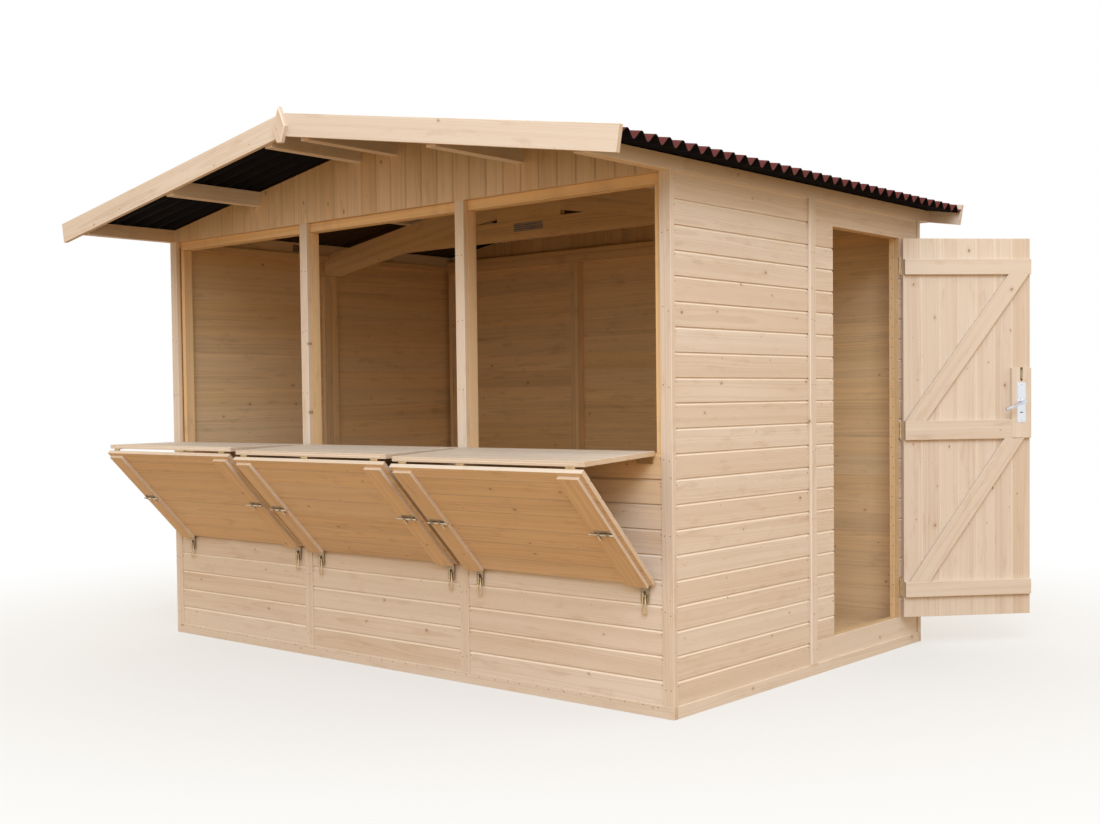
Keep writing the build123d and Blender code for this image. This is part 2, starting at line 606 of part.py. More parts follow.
def barrel_bolt(x, side):
    """Barrel bolt on a flap batten in the flap's frame; side is the way to the shutter's edge."""
    length, height, plate = BOLT_PLATE
    face = -SHUTTER_HINGE_RADIUS - SHUTTER_THICKNESS - FLAP_BATTEN[1]
    y = EDGE_GAP + BOLT_FROM_TOP
    rod_z = face - plate - BOLT_LIFT - BOLT_RADIUS
    bolt = block(x - length / 2, x + length / 2, y - height / 2, y + height / 2, face - plate, face)
    bolt += rod_x(BOLT_RADIUS, x - side * BOLT_SHIFT, BOLT_LENGTH, y, rod_z)
    reach = BOLT_RADIUS + GUIDE_WALL
    for shift in BOLT_GUIDES:
        middle = x + side * shift
        bolt += block(middle - GUIDE_WIDTH / 2, middle + GUIDE_WIDTH / 2, y - reach, y + reach,
                      rod_z - reach, face - plate)
    knob = Rot(90, 0, 0) * rod(BOLT_RADIUS, BOLT_KNOB)
    return bolt + Pos(x - side * BOLT_KNOB_AT, y + BOLT_KNOB / 2, rod_z) * knob


def link(width, height):
    """Closed link of bar stock in the XY plane, with cut corners."""
    def outline(w, h, corner):
        quarter = [(w - corner, h), (w, h - corner)]
        right = quarter + [(x, -y) for x, y in reversed(quarter)]
        return make_face(Polyline(right + [(-x, y) for x, y in reversed(right)], close=True))
    outer = outline(width / 2, height / 2, LINK_BAR)
    inner = outline(width / 2 - LINK_BAR, height / 2 - LINK_BAR, LINK_BAR / 4)
    return extrude(outer - inner, amount=LINK_BAR / 2, both=True)


def hasp_set(bay, x):
    """Hasp on the flap's foot, the staple it hangs on and the snap hook in the staple."""
    width, drop, thick = HASP
    span = EDGE_GAP + FLAP_LENGTH
    face = -SHUTTER_HINGE_RADIUS
    pin = (bay.flap * Pos(x - bay.centre, span + HASP_KNUCKLE_RADIUS + SEAT_GAP, face)).position
    strap = block(x - bay.centre - width / 2, x - bay.centre + width / 2, span - HASP_STRAP,
                  span + HASP_KNUCKLE_RADIUS, face, face + thick)
    slot_width, slot_height = HASP_SLOT
    staple_z = pin.Z - STAPLE_DROP
    plate = block(x - width / 2, x + width / 2, pin.Y - thick / 2, pin.Y + thick / 2,
                  pin.Z - drop, pin.Z)
    plate -= block(x - slot_width / 2, x + slot_width / 2, pin.Y - thick, pin.Y + thick,
                   staple_z - slot_height / 2, staple_z + slot_height / 2)
    hasp = plate + bay.flap * strap + rod_x(HASP_KNUCKLE_RADIUS, x, width, pin.Y, pin.Z)

    hook_y = pin.Y - thick / 2 - LINK_PLAY - LINK_BAR / 2
    front = hook_y - 1.5 * LINK_BAR - LINK_PLAY
    wall = -FRONT_BOARD_FACE
    plate_width, plate_height, plate_thick = STAPLE_PLATE
    foot = wall - plate_thick
    staple = Pos(x, (front + foot) / 2, staple_z) * Rot(0, 90, 0) * link(STAPLE_HEIGHT, foot - front)
    staple += block(x - plate_width / 2, x + plate_width / 2, foot, wall,
                    staple_z - plate_height / 2, staple_z + plate_height / 2)

    hook_top = staple_z - STAPLE_HEIGHT / 2 + 2 * LINK_BAR + SEAT_GAP
    hook = Pos(x, hook_y, hook_top - HOOK_LENGTH / 2) * Rot(90, 0, 0) * link(HOOK_WIDTH, HOOK_LENGTH)
    return hasp, staple, hook


def shutters():
    battens, hinges, bolts, hasps, hooks = [], [], [], [], []
    half = SHUTTER_WIDTH / 2
    names = ("left", "middle", "right")
    for name, centre, sag, shift in zip(names, bay_centres(), SHELF_SAG, FOLD_HINGE_SHIFT):
        bay = Bay(centre, sag)
        save(f"shelf_{name}", bay.shelf * shelf_leaf())
        save(f"flap_{name}", bay.flap * flap_leaf())
        width, thick = FLAP_BATTEN
        face = -SHUTTER_HINGE_RADIUS - SHUTTER_THICKNESS
        outer = half - FLAP_BATTEN_INSET
        batten = block(outer - width, outer, EDGE_GAP + FLAP_BATTEN_DROP, EDGE_GAP + FLAP_LENGTH,
                       face - thick, face)
        battens += [bay.flap * batten, bay.flap * mirrored_x(batten)]
        bolts += [bay.flap * barrel_bolt(side * (half - inset), side)
                  for side, inset in zip((-1, 1), BOLT_INSET)]
        edge = half - WALL_HINGE_INSET - WALL_HINGE_WIDTH / 2
        hinges += [shutter_hinge(x, WALL_HINGE_WIDTH, (bay.wall, 1, 1), (bay.shelf, -1, 1))
                   for x in (-edge, 0, edge)]
        edge = half - FOLD_HINGE_INSET - FOLD_HINGE_WIDTH / 2
        hinges += [shutter_hinge(x, FOLD_HINGE_WIDTH, (bay.fold, 1, 1), (bay.flap, 1, -1))
                   for x in (-edge, shift, edge)]
        for x in (centre - half + HASP_INSET[0], centre + half - HASP_INSET[1]):
            hasp, staple, hook = hasp_set(bay, x)
            hasps += [hasp, staple]
            hooks.append(hook)
    save("flap_battens", *battens)
    save("shutter_hinges", *hinges)
    save("barrel_bolts", *bolts)
    save("hasps", *hasps)
    save("snap_hooks", *hooks)


# ---- Door ------------------------------------------------------------------------------
def swung(part):
    """A door piece drawn closed, turned on the hinge pin to where the door stands."""
    return Pos(PIN_X, PIN_Y, 0) * Rot(0, 0, DOOR_OPEN) * Pos(-PIN_X, -PIN_Y, 0) * part


def on_leaf(points, x0, x1):
    """Prism on the leaf from (distance from the hinge edge, height) points."""
    return prism_x([(LEAF_Y1 - u, z) for u, z in points], x0, x1)


def ledge(u1, z0, height):
    points = [(0, z0), (u1, z0), (u1, z0 + height), (0, z0 + height)]
    return on_leaf(points, LEAF_INNER - LEDGE_THICKNESS, LEAF_INNER)


def brace(u0, z0, u1, z1):
    """Diagonal brace between two ledges, cut level at both ends."""
    lean = (u1 - u0) / (z1 - z0)
    across = BRACE_WIDTH * (1 + lean ** 2) ** 0.5
    points = [(u0, z0), (u0 + across, z0), (u1 + across, z1), (u1, z1)]
    return on_leaf(points, LEAF_INNER - LEDGE_THICKNESS, LEAF_INNER)


def cylinder_x(radius, y, z, x0, x1):
    return Pos((x0 + x1) / 2, y, z) * Rot(0, 90, 0) * Cylinder(radius, x1 - x0)


def leaf():
    """Door boards: vertical, with V joints on both faces."""
    joints = [LEAF_Y1 - k * LEAF_WIDTH / LEAF_JOINTS for k in range(1, LEAF_JOINTS)]
    half = GROOVE_WIDTH / 2
    plan = [(LEAF_INNER, LEAF_Y1), (SIDE_FACE, LEAF_Y1)]
    for y in joints:
        plan += [(SIDE_FACE, y + half), (SIDE_FACE - GROOVE_DEPTH, y), (SIDE_FACE, y - half)]
    plan += [(SIDE_FACE, LEAF_Y0), (LEAF_INNER, LEAF_Y0)]
    for y in reversed(joints):
        plan += [(LEAF_INNER, y - 2), (LEAF_INNER + 2, y), (LEAF_INNER, y + 2)]
    return prism_z(plan, LEAF_Z0, LEAF_Z1)


def hinge_pair(z0):
    """Butt hinge drawn closed: the frame's half with the pin, and the door's half."""
    z1 = z0 + HINGE_HEIGHT
    third = HINGE_HEIGHT / 3
    play = 0.5

    def barrel(shape, radius, low, high):
        return Pos(PIN_X, PIN_Y, (low + high) / 2) * shape(radius, high - low)

    def plate(y0, y1, low, high):
        return block(SIDE_FACE, SIDE_FACE + HINGE_PLATE, PIN_Y + y0, PIN_Y + y1, low, high)
    low, high = z0 + third, z1 - third
    free = KNUCKLE_RADIUS + 1.5
    frame = plate(free, HINGE_LEAF, z0, z1) + barrel(Cylinder, PIN_RADIUS, z0, z1)
    for a, b in ((z0, low - play), (high + play, z1)):
        frame += barrel(rod, KNUCKLE_RADIUS, a, b)
        frame += plate(0, free, a, b)
    door = plate(-HINGE_LEAF, -free, z0, z1)
    door += barrel(rod, KNUCKLE_RADIUS, low, high) + plate(-free, 0, low, high)
    door -= barrel(Cylinder, PIN_RADIUS + PIN_PLAY, low, high)
    return frame, door


def handle(y):
    """Lever handles on both faces with their spindle."""
    inner = LEAF_INNER - LOCK_BLOCK_DEPTH - PLATE_THICKNESS
    outer = SIDE_FACE + PLATE_THICKNESS
    play = 0.5
    shape = cylinder_x(SPINDLE_RADIUS, y, SPINDLE_Z, inner - LEVER_REACH, outer + LEVER_REACH)
    neck = LEVER_REACH - play
    for x in (inner - play - neck / 2, outer + play + neck / 2):
        shape += rod_x(LEVER_RADIUS + 2, x, neck, y, SPINDLE_Z)
    for x in (inner - LEVER_REACH, outer + LEVER_REACH):
        grip = Pos(0, 0, LEVER_LENGTH / 2) * rod(LEVER_RADIUS, LEVER_LENGTH)
        shape += Pos(x, y, SPINDLE_Z) * Rot(-90 - LEVER_DROOP, 0, 0) * grip
    return shape


def door():
    face = LEAF_INNER
    width = LEAF_Y1 - LEAF_Y0
    spindle_y = LEAF_Y0 + SPINDLE_FROM_EDGE
    bore = cylinder_x(SPINDLE_RADIUS + 3, spindle_y, SPINDLE_Z, face - 60, SIDE_FACE + 10)
    running = cylinder_x(SPINDLE_RADIUS + PIN_PLAY, spindle_y, SPINDLE_Z, face - 60, SIDE_FACE + 10)
    save("door_boards", swung(leaf() - bore))
    full = width - LEDGE_INSET
    block_u = width - LOCK_BLOCK_WIDTH - LEDGE_INSET
    save("door_ledges", swung(ledge(full, BOTTOM_LEDGE_Z, LEDGE_WIDTH)),
         swung(ledge(block_u - TOUCH, MIDDLE_LEDGE_Z, MIDDLE_LEDGE_WIDTH)),
         swung(ledge(full, TOP_LEDGE_Z, LEDGE_WIDTH)))
    low = BOTTOM_LEDGE_Z + LEDGE_WIDTH
    middle = MIDDLE_LEDGE_Z + MIDDLE_LEDGE_WIDTH
    save("door_braces", swung(brace(20, low, 470, MIDDLE_LEDGE_Z)),
         swung(brace(4, middle, 490, TOP_LEDGE_Z)))
    z0, z1 = LOCK_BLOCK_Z
    lock = on_leaf([(block_u, z0), (block_u + LOCK_BLOCK_WIDTH, z0),
                    (block_u + LOCK_BLOCK_WIDTH, z1), (block_u, z1)], face - LOCK_BLOCK_DEPTH, face)
    save("lock_block", swung(lock - bore))
    plates = []
    for x0 in (face - LOCK_BLOCK_DEPTH - PLATE_THICKNESS, SIDE_FACE):
        plate = block(x0, x0 + PLATE_THICKNESS, spindle_y - PLATE_WIDTH / 2,
                      spindle_y + PLATE_WIDTH / 2, PLATE_Z, PLATE_Z + PLATE_HEIGHT)
        plates.append(swung(plate - running))
    save("lock_plates", *plates)
    pairs = [hinge_pair(z) for z in (BOTTOM_LEDGE_Z, MIDDLE_LEDGE_Z, TOP_LEDGE_Z)]
    save("frame_hinges", *[frame for frame, half in pairs])
    save("door_hinges", *[swung(half) for frame, half in pairs])
    save("door_handle", swung(handle(spindle_y)))


os.makedirs("parts", exist_ok=True)
base()
wall_boards()
frames()
cover_strips()
roof()
truss()
shutters()
door()
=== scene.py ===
"""Looks of a planed spruce market stall: boards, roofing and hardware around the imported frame.

Everything is in metres in the frame's own axes: +X towards the wall with the door, -Y is the
serving front, +Z is up.
"""

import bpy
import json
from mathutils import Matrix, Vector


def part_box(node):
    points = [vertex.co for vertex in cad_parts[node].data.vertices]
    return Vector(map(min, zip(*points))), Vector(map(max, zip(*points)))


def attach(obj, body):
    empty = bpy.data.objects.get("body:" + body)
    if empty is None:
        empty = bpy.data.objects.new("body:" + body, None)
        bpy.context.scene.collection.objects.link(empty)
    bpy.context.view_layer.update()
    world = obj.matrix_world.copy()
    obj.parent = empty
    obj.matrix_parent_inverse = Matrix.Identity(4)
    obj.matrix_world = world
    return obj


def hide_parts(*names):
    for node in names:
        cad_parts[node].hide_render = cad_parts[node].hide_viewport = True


bl_info = {
    "name": "Market Stall",
    "version": (1, 0, 0),
    "blender": (4, 5, 0),
    "location": "View3D > Sidebar > Stall",
    "description": "Dresses a packed market stall with spruce boards, roofing and hardware",
    "category": "Object",
}

import json
import math
import random

import bmesh
import bpy
from bpy.props import FloatProperty, FloatVectorProperty, IntProperty
from mathutils import Matrix, Vector

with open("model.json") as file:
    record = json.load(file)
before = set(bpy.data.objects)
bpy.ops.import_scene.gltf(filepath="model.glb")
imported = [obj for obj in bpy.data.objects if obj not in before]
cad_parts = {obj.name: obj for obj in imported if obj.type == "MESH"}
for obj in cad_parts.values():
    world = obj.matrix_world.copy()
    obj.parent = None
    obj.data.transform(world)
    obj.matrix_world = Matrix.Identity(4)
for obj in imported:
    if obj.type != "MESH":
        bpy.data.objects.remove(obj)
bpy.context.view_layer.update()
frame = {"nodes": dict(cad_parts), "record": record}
NODES = frame["nodes"]

X, Y, Z = Vector((1, 0, 0)), Vector((0, 1, 0)), Vector((0, 0, 1))
MM = 0.001
BAYS = ("left", "middle", "right")


# ---- Sizes and colours that a user would change ------------------------------------------
def length(name, default, description):
    return FloatProperty(name=name, description=description, default=default, min=0,
                         unit="LENGTH", precision=4)


def colour(name, default, description):
    return FloatVectorProperty(name=name, description=description, default=default, size=3,
                               subtype="COLOR", min=0, max=1)


def turn(name, default, description):
    return FloatProperty(name=name, description=description, default=default, subtype="ANGLE")


class StallWood(bpy.types.PropertyGroup):
    """Spruce boards and frame timbers."""
    pale: colour("Pale wood", (0.765, 0.675, 0.595), "Early wood of a light board")
    warm: colour("Warm wood", (0.72, 0.60, 0.50), "Tone of the warmer boards")
    # painted warm shade: the tone given to faces in shade, indoors, under the shelves, on the flaps
    # and gables and on the ends beside the doorway
    painted_warm_shade: colour("Indoor wood", (0.88, 0.60, 0.31), "Tone of faces that the sun never bleached")
    late: colour("Late wood", (0.50, 0.33, 0.20), "Dark side of the growth rings")
    end: colour("End grain", (0.52, 0.35, 0.20), "Sawn ends of boards")
    # painted highlight on the eased edges and on the shiplap bevels
    arris_highlight: colour("Arris", (0.88, 0.78, 0.67), "Eased edges of the boards")
    knot: colour("Knot", (0.25, 0.13, 0.06), "Heart of a knot")
    pitch: length("Board pitch", 0.09, "Visible width of a wall board")
    shutter_pitch: length("Shutter board pitch", 0.0895, "Board width in the shutters")
    eased: length("Eased edge", 0.0012, "Rounding of the arrises")
    ring: length("Ring width", 0.0034, "Distance between growth rings")
    seed: IntProperty(name="Seed", description="Choice of boards", default=7)


class StallRoofing(bpy.types.PropertyGroup):
    """Corrugated bituminous sheets and their nails."""
    red: colour("Upper face", (0.115, 0.022, 0.020), "Dark red painted face")
    black: colour("Lower face", (0.005, 0.004, 0.004), "Bitumen below and at the cut ends")
    dusty: colour("Lower face indoors", (0.050, 0.031, 0.019), "Bitumen under a film of dust")
    cap: length("Nail cap", 0.009, "Radius of the caps over the roof nails")
    waves: IntProperty(name="Corrugations", description="Waves along the roof", default=33)
    height: length("Wave height", 0.030, "Crest to valley")
    thickness: length("Sheet thickness", 0.003, "Thickness of the sheet")


class StallHardware(bpy.types.PropertyGroup):
    """Zinc plated hinges, bolts, hasps and the lever handle."""
    zinc: colour("Zinc", (0.66, 0.54, 0.37), "Plated steel of the rods and rings")
    yellow: colour("Yellow zinc", (0.70, 0.50, 0.25), "Passivated hinges and snap hooks")
    dull: colour("Dull zinc", (0.44, 0.31, 0.18), "Duller plate of the hasps and bolts")
    bright: colour("Bright plate", (0.80, 0.82, 0.85), "Lock plate")
    # dark brown tone: painted shade, since the plates sit in shade under the roof
    toothed: colour("Nail plate", (0.22, 0.155, 0.09), "Nail plates on the truss")
    satin: colour("Lever", (0.68, 0.69, 0.72), "Satin aluminium of the lever")
    steel: colour("Board nails", (0.20, 0.16, 0.12), "Steel of the nail heads")
    screw: length("Screw head", 0.0032, "Radius of a screw head")
    nail: length("Nail head", 0.0022, "Radius of a nail head")


class StallStage(bpy.types.PropertyGroup):
    """Camera, light and floor."""
    camera: FloatVectorProperty(name="Camera", description="Place of the camera", size=3,
                                default=(4.2231, -4.9409, 1.1446), subtype="TRANSLATION")
    heading: turn("Heading", -0.7312, "Turn from +Y towards +X")
    pitch: turn("Pitch", -0.0327, "Tilt above the horizon")
    roll: turn("Roll", -0.0126, "Turn about the line of sight")
    lens: FloatProperty(name="Lens", description="Focal length", default=44.27, unit="CAMERA")
    shift: FloatVectorProperty(name="Shift", description="Lens shift", size=2,
                               default=(0.0453, 0.0286))
    floor: colour("Floor", (0.70, 0.70, 0.70), "Studio floor as it is seen")
    bounce: colour("Floor light", (0.40, 0.25, 0.11), "Light that the floor throws back")
    tint: colour("Sky tint", (1.0, 0.89, 0.71), "Tint of the even light")
    sky: FloatProperty(name="Sky light", description="Strength of the even light", default=1.12)
    cool: colour("Key tint", (0.74, 0.86, 1.0), "Tint of the large lamp")
    key: FloatProperty(name="Key light", description="Power of the large lamp", default=380.0)


# ---- Shader expressions --------------------------------------------------------------------
class Value:
    """A number that varies over a surface; each operator adds a Math node."""

    def __init__(self, shader, socket):
        self.shader, self.socket = shader, socket

    def math(self, operation, *others):
        values = dict(enumerate([self, *others]))
        return Value(self.shader, self.shader.out("Math", {"operation": operation}, values))

    def __add__(self, other):
        return self.math("ADD", other)

    def __sub__(self, other):
        return self.math("SUBTRACT", other)

    def __mul__(self, other):
        return self.math("MULTIPLY", other)

    def __truediv__(self, other):
        return self.math("DIVIDE", other)

    def __pow__(self, other):
        return self.math("POWER", other)

    def __gt__(self, other):
        return self.math("GREATER_THAN", other)

    def __rsub__(self, other):
        return self * -1 + other

    __radd__ = __add__
    __rmul__ = __mul__

    def smooth(self, low, high):
        """0 below low and 1 above high, with an eased step between."""
        return Value(self.shader, self.shader.out(
            "MapRange", {"interpolation_type": "SMOOTHSTEP"},
            {"Value": self, "From Min": low, "From Max": high}))


class Shader:
    """A node tree under construction."""

    def __init__(self, tree):
        self.tree = tree

    def node(self, kind, settings, inputs):
        """Any node: its settings first, then the values or links of its sockets."""
        node = self.tree.nodes.new(f"ShaderNode{kind}")
        for name, value in settings.items():
            setattr(node, name, value)
        for name, value in inputs.items():
            self.put(node.inputs[name], value)
        return node

    def out(self, kind, settings, inputs, output=0):
        """One output of any node."""
        return self.node(kind, settings, inputs).outputs[output]

    def put(self, socket, value):
        if isinstance(value, Value):
            value = value.socket
        if isinstance(value, bpy.types.NodeSocket):
            self.tree.links.new(value, socket)
        else:
            if socket.type == "RGBA" and len(value) == 3:
                value = (*value, 1)
            socket.default_value = value

    def split(self, vector):
        node = self.node("SeparateXYZ", {}, {"Vector": vector})
        return [Value(self, node.outputs[axis]) for axis in "XYZ"]

    def attribute(self, name):
        """X, Y and Z of a vector attribute."""
        return self.split(self.out("Attribute", {"attribute_name": name}, {}, "Vector"))

    def place(self):
        """Position in the object's own frame."""
        return self.out("TexCoord", {}, {}, "Object")

    def vector(self, x, y, z):
        return self.out("CombineXYZ", {}, {"X": x, "Y": y, "Z": z})

    def noise(self, vector, scale=1.0, detail=2.0, roughness=0.5):
        return Value(self, self.out("TexNoise", {}, {"Vector": vector, "Scale": scale,
                                                     "Detail": detail, "Roughness": roughness}))

    def mix(self, factor, first, second):
        return self.out("Mix", {"data_type": "RGBA"}, {0: factor, 6: first, 7: second}, 2)

    def bump(self, height, distance, strength):
        return self.out("Bump", {}, {"Height": height, "Distance": distance,
                                     "Strength": strength})

    def seen(self):
        """1 for rays that show the surroundings: from the camera, in gloss or through glass."""
        path = self.node("LightPath", {}, {})
        camera, gloss, glass = (Value(self, path.outputs[f"Is {kind} Ray"])
                                for kind in ("Camera", "Glossy", "Transmission"))
        return camera.math("MAXIMUM", gloss).math("MAXIMUM", glass)


class Surface(Shader):
    """A material under construction; its constants stand on the Principled sockets."""

    def __init__(self, name, constants):
        self.material = bpy.data.materials.new(name)
        self.material.use_nodes = True
        super().__init__(self.material.node_tree)
        self.principled = self.tree.nodes["Principled BSDF"]
        for socket, value in constants.items():
            self.principled.inputs[socket].default_value = value

    def finish(self, **links):
        for name, value in links.items():
            self.put(self.principled.inputs[name.replace("_", " ")], value)
        return self.material


# ---- Materials -----------------------------------------------------------------------------
# size of a cell, least and largest radius, share of the cells that hold a knot
KNOTS = ((0.33, 0.085), (0.0014, 0.0060), 0.45)
PIN_KNOTS = ((0.15, 0.045), (0.0007, 0.0015), 0.16)
PIN_OFFSET = 3.1               # moves the pin knots off the others' cells
KNOT_STRETCH = 0.72            # width of a knot over its length
LIGHT_KNOT = (0.34, 0.19, 0.09)
KNOT_RIM = (0.09, 0.045, 0.022)
SPANGLE = (0.85, 0.82, 0.76)
# painted shade inside keyholes and screw slots: near black with a faint speckle
RECESS_SHADE, RECESS_SHADE_SPECKLE = (0.010, 0.010, 0.010), (0.03, 0.026, 0.02)


def knots(shader, along, across, pick, cell, radius, share):
    """Knots scattered one to a cell: the knot, the halo round it, its push on the rings, the
    distance from its heart and its tone."""
    place = shader.vector(along / cell[0], across / cell[1], pick * 41)
    cells = shader.node("TexVoronoi", {}, {"Vector": place, "Scale": 1.0})
    x, y, _ = shader.split(cells.outputs["Position"])
    size, chance, tone = shader.split(cells.outputs["Color"])
    dx = (along / cell[0] - x) * cell[0] * KNOT_STRETCH
    dy = (across / cell[1] - y) * cell[1]
    reach = (dx * dx + dy * dy) ** 0.5
    present = chance > 1 - share
    relative = reach / (size * size * (radius[1] - radius[0]) + radius[0])
    heart = (1 - relative.smooth(0.55, 1.2)) * present
    halo = (1 - relative.smooth(0.8, 3.6)) * present
    push = dy * (1 - relative.smooth(0.4, 4.5)) * present
    return heart, halo, push, relative, tone


def spruce(wood):
    """Planed spruce that follows each board's own grain, knots and tone, with a painted warm shade
    on faces that lie in shade and painted highlights on the eased edges.
    """
    shader = Surface("planed_spruce", {"Specular IOR Level": 0.22})
    along, across, depth = shader.attribute("grain")
    pick, turned, state = shader.attribute("board")
    # share of the painted warm shade on this face
    indoors = shader.attribute("indoors")[0]
    heart, halo, push, relative, tone = knots(shader, along, across, pick, *KNOTS)
    pin, pin_halo = knots(shader, along + PIN_OFFSET, across, pick, *PIN_KNOTS)[:2]

    # growth rings about a pith behind the board, bent round the knots
    drift = shader.noise(shader.vector(along * 1.1, across * 7, depth * 7 + pick * 53))
    side = across - push * 0.85 - (turned - 0.5) * 0.15
    back = depth + pick * 0.11 + 0.045
    rings = (side * side + back * back) ** 0.5 + along * (turned - 0.5) * 0.012 + drift * 0.012
    phase = (rings / wood.ring).math("FRACT")
    late = phase.smooth(0.35, 0.92) * (1 - phase.smooth(0.94, 1.0))
    bands = shader.noise(shader.vector(along * 0.5, rings * 62, pick * 31), 1.0, 3.0, 0.6)
    fibre = shader.noise(shader.vector(along * 16, across * 620, depth * 620))
    cloud = shader.noise(shader.vector(along * 2.3, across * 9, pick * 19))
    smudge = shader.noise(shader.vector(along * 7, across * 26, pick * 71), 1.0, 3.0, 0.6)
    figure = late * 0.18 + bands.smooth(0.38, 0.74) * 0.22 + (fibre - 0.5) * 0.12
    figure = figure + smudge.smooth(0.53, 0.80) * 0.28

    # the board's tone and its painted warm shade, then rings, sawn ends, and the eased edges: a
    # painted highlight outside, painted shade where the warm shade is painted
    base = shader.mix((pick * 0.9 + cloud * 0.7 - 0.4).smooth(0.1, 1.0), wood.pale, wood.warm)
    # painted warm shade, with stronger figure and darker boards where it is painted
    base = shader.mix(indoors * (0.75 + turned * 0.2), base, wood.painted_warm_shade)
    base = shader.mix(figure * (1 + indoors * 0.4) + indoors * pick * 0.15, base, wood.late)
    base = shader.mix(halo * 0.22 + pin_halo * 0.12, base, wood.late)
    base = shader.mix(state.smooth(0.4, 0.6) * 0.45, base, wood.end)
    eased = 1 - state.smooth(-0.6, -0.4)
    # eased edges and bevels get a painted highlight outside; where the warm shade is painted they
    # are darkened instead, as painted shade
    base = shader.mix(eased * (1 - indoors) * 0.75, base, wood.arris_highlight)
    base = shader.mix(eased * indoors * 0.5, base, wood.knot)

    rim = heart * relative.smooth(0.55, 0.95)
    base = shader.mix(heart * 0.68, base, shader.mix(tone, wood.knot, LIGHT_KNOT))
    base = shader.mix((rim * 0.4 + pin * 0.75).math("MINIMUM", 1.0), base, KNOT_RIM)
    height = late * 0.5 + fibre * 0.4 - heart * 0.5
    return shader.finish(Base_Color=base, Roughness=0.58 + fibre * 0.1 - heart * 0.12,
                         Normal=shader.bump(height, 0.00035, 0.3))


def bitumen(tone, name, wear, shine):
    """Fibrous bituminous sheet: matt, slightly mottled."""
    shader = Surface(name, {"Specular IOR Level": shine})
    place = shader.place()
    x, y, z = shader.split(place)
    mottle = shader.noise(place, 9.0, 3.0)
    fibre = shader.noise(shader.vector(x * 60, y * 420, z * 420), 1.0, 3.0, 0.65)
    base = shader.mix(mottle.smooth(0.3, 0.8) * 0.35, tone, wear)
    base = shader.mix((fibre - 0.5).math("ABSOLUTE") * 0.5, base, wear)
    return shader.finish(Base_Color=base, Roughness=0.72 + fibre * 0.2,
                         Normal=shader.bump(fibre, 0.0006, 0.5))


def plated(tone, name, stain, rough, wear):
    """Plated steel with a spangled tone, faint scratches and a dull film."""
    shader = Surface(name, {"Metallic": 1.0})
    place = shader.place()
    x, y, z = shader.split(place)
    spangle = shader.noise(place, 190.0)
    film = shader.noise(place, 38.0, 3.0)
    scratch = shader.noise(shader.vector(x * 900, y * 900, z * 40))
    base = shader.mix(film.smooth(0.35, 0.8) * wear, tone, stain)
    base = shader.mix(spangle.smooth(0.45, 0.75) * 0.12, base, SPANGLE)
    return shader.finish(Base_Color=base, Roughness=rough + film * 0.18 + scratch * 0.06,
                         Normal=shader.bump(scratch, 0.0001, 0.2))


def recess():
    """Painted shade for the inside of keyholes, screw slots and screw holes."""
    shader = Surface("painted_recess_shade", {"Roughness": 0.8, "Specular IOR Level": 0.1})
    shade_speckle = shader.noise(shader.place(), 300.0)
    return shader.finish(Base_Color=shader.mix(shade_speckle, RECESS_SHADE, RECESS_SHADE_SPECKLE))


BITUMENS = {                   # finish: name, colour of the wear, shine
    "red": ("red_bitumen", (0.16, 0.045, 0.038), 0.25),
    "dusty": ("dusty_bitumen", (0.07, 0.045, 0.028), 0.06),
    "black": ("black_bitumen", (0.016, 0.012, 0.010), 0.06),
}
METALS = {                     # finish: name, colour of the film, roughness, share of the film
    "zinc": ("zinc_plate", (0.34, 0.24, 0.14), 0.30, 0.5),
    "yellow": ("yellow_zinc", (0.40, 0.26, 0.12), 0.36, 0.6),
    "dull": ("dull_zinc", (0.17, 0.11, 0.06), 0.42, 0.8),
    "bright": ("bright_plate", (0.6, 0.63, 0.7), 0.22, 0.3),
    "satin": ("satin_lever", (0.34, 0.35, 0.38), 0.28, 0.6),
    # toothed plates: dark tone and film are painted shade under the roof
    "toothed": ("toothed_plate", (0.11, 0.07, 0.04), 0.5, 0.6),
    "steel": ("nail_steel", (0.10, 0.06, 0.04), 0.5, 0.8),
}
_made = {}


def material(finish):
    """The material of a finish, made once."""
    scene = bpy.context.scene
    if finish not in _made:
        if finish in METALS:
            made = plated(getattr(scene.stall_hardware, finish), *METALS[finish])
        elif finish in BITUMENS:
            made = bitumen(getattr(scene.stall_roofing, finish), *BITUMENS[finish])
        else:
            # the "dark" finish is the painted shade of holes and recesses
            made = spruce(scene.stall_wood) if finish == "wood" else recess()
        _made[finish] = made
    return _made[finish]


# ---- Measures of a solid -------------------------------------------------------------------
def solids(node):
    """Each solid of a CAD node as its own clean mesh."""
    whole = bmesh.new()
    whole.from_mesh(NODES[node].data)
    bmesh.ops.remove_doubles(whole, verts=whole.verts, dist=1e-6)
    bmesh.ops.dissolve_limit(whole, angle_limit=math.radians(0.5), verts=whole.verts,
                             edges=whole.edges)
    whole.verts.ensure_lookup_table()
    left = set(whole.verts)
    pieces = []
    while left:
        island = {left.pop()}
        front = list(island)
        while front:
            for edge in front.pop().link_edges:
                new = set(edge.verts) - island
                island |= new
                front += new
        left -= island
        piece = whole.copy()
        keep = {vert.index for vert in island}
        bmesh.ops.delete(piece, geom=[v for v in piece.verts if v.index not in keep],
                         context="VERTS")
        pieces.append(piece)
    return sorted(pieces, key=lambda piece: tuple(round(c, 4) for c in middle(piece)))


def middle(piece):
    return sum((v.co for v in piece.verts), Vector()) / len(piece.verts)


def span(piece, direction):
    reach = [v.co.dot(direction) for v in piece.verts]
    return min(reach), max(reach)


def corners(piece):
    """Lowest and highest corner of a solid's box."""
    return [Vector([span(piece, axis)[end] for axis in (X, Y, Z)]) for end in (0, 1)]


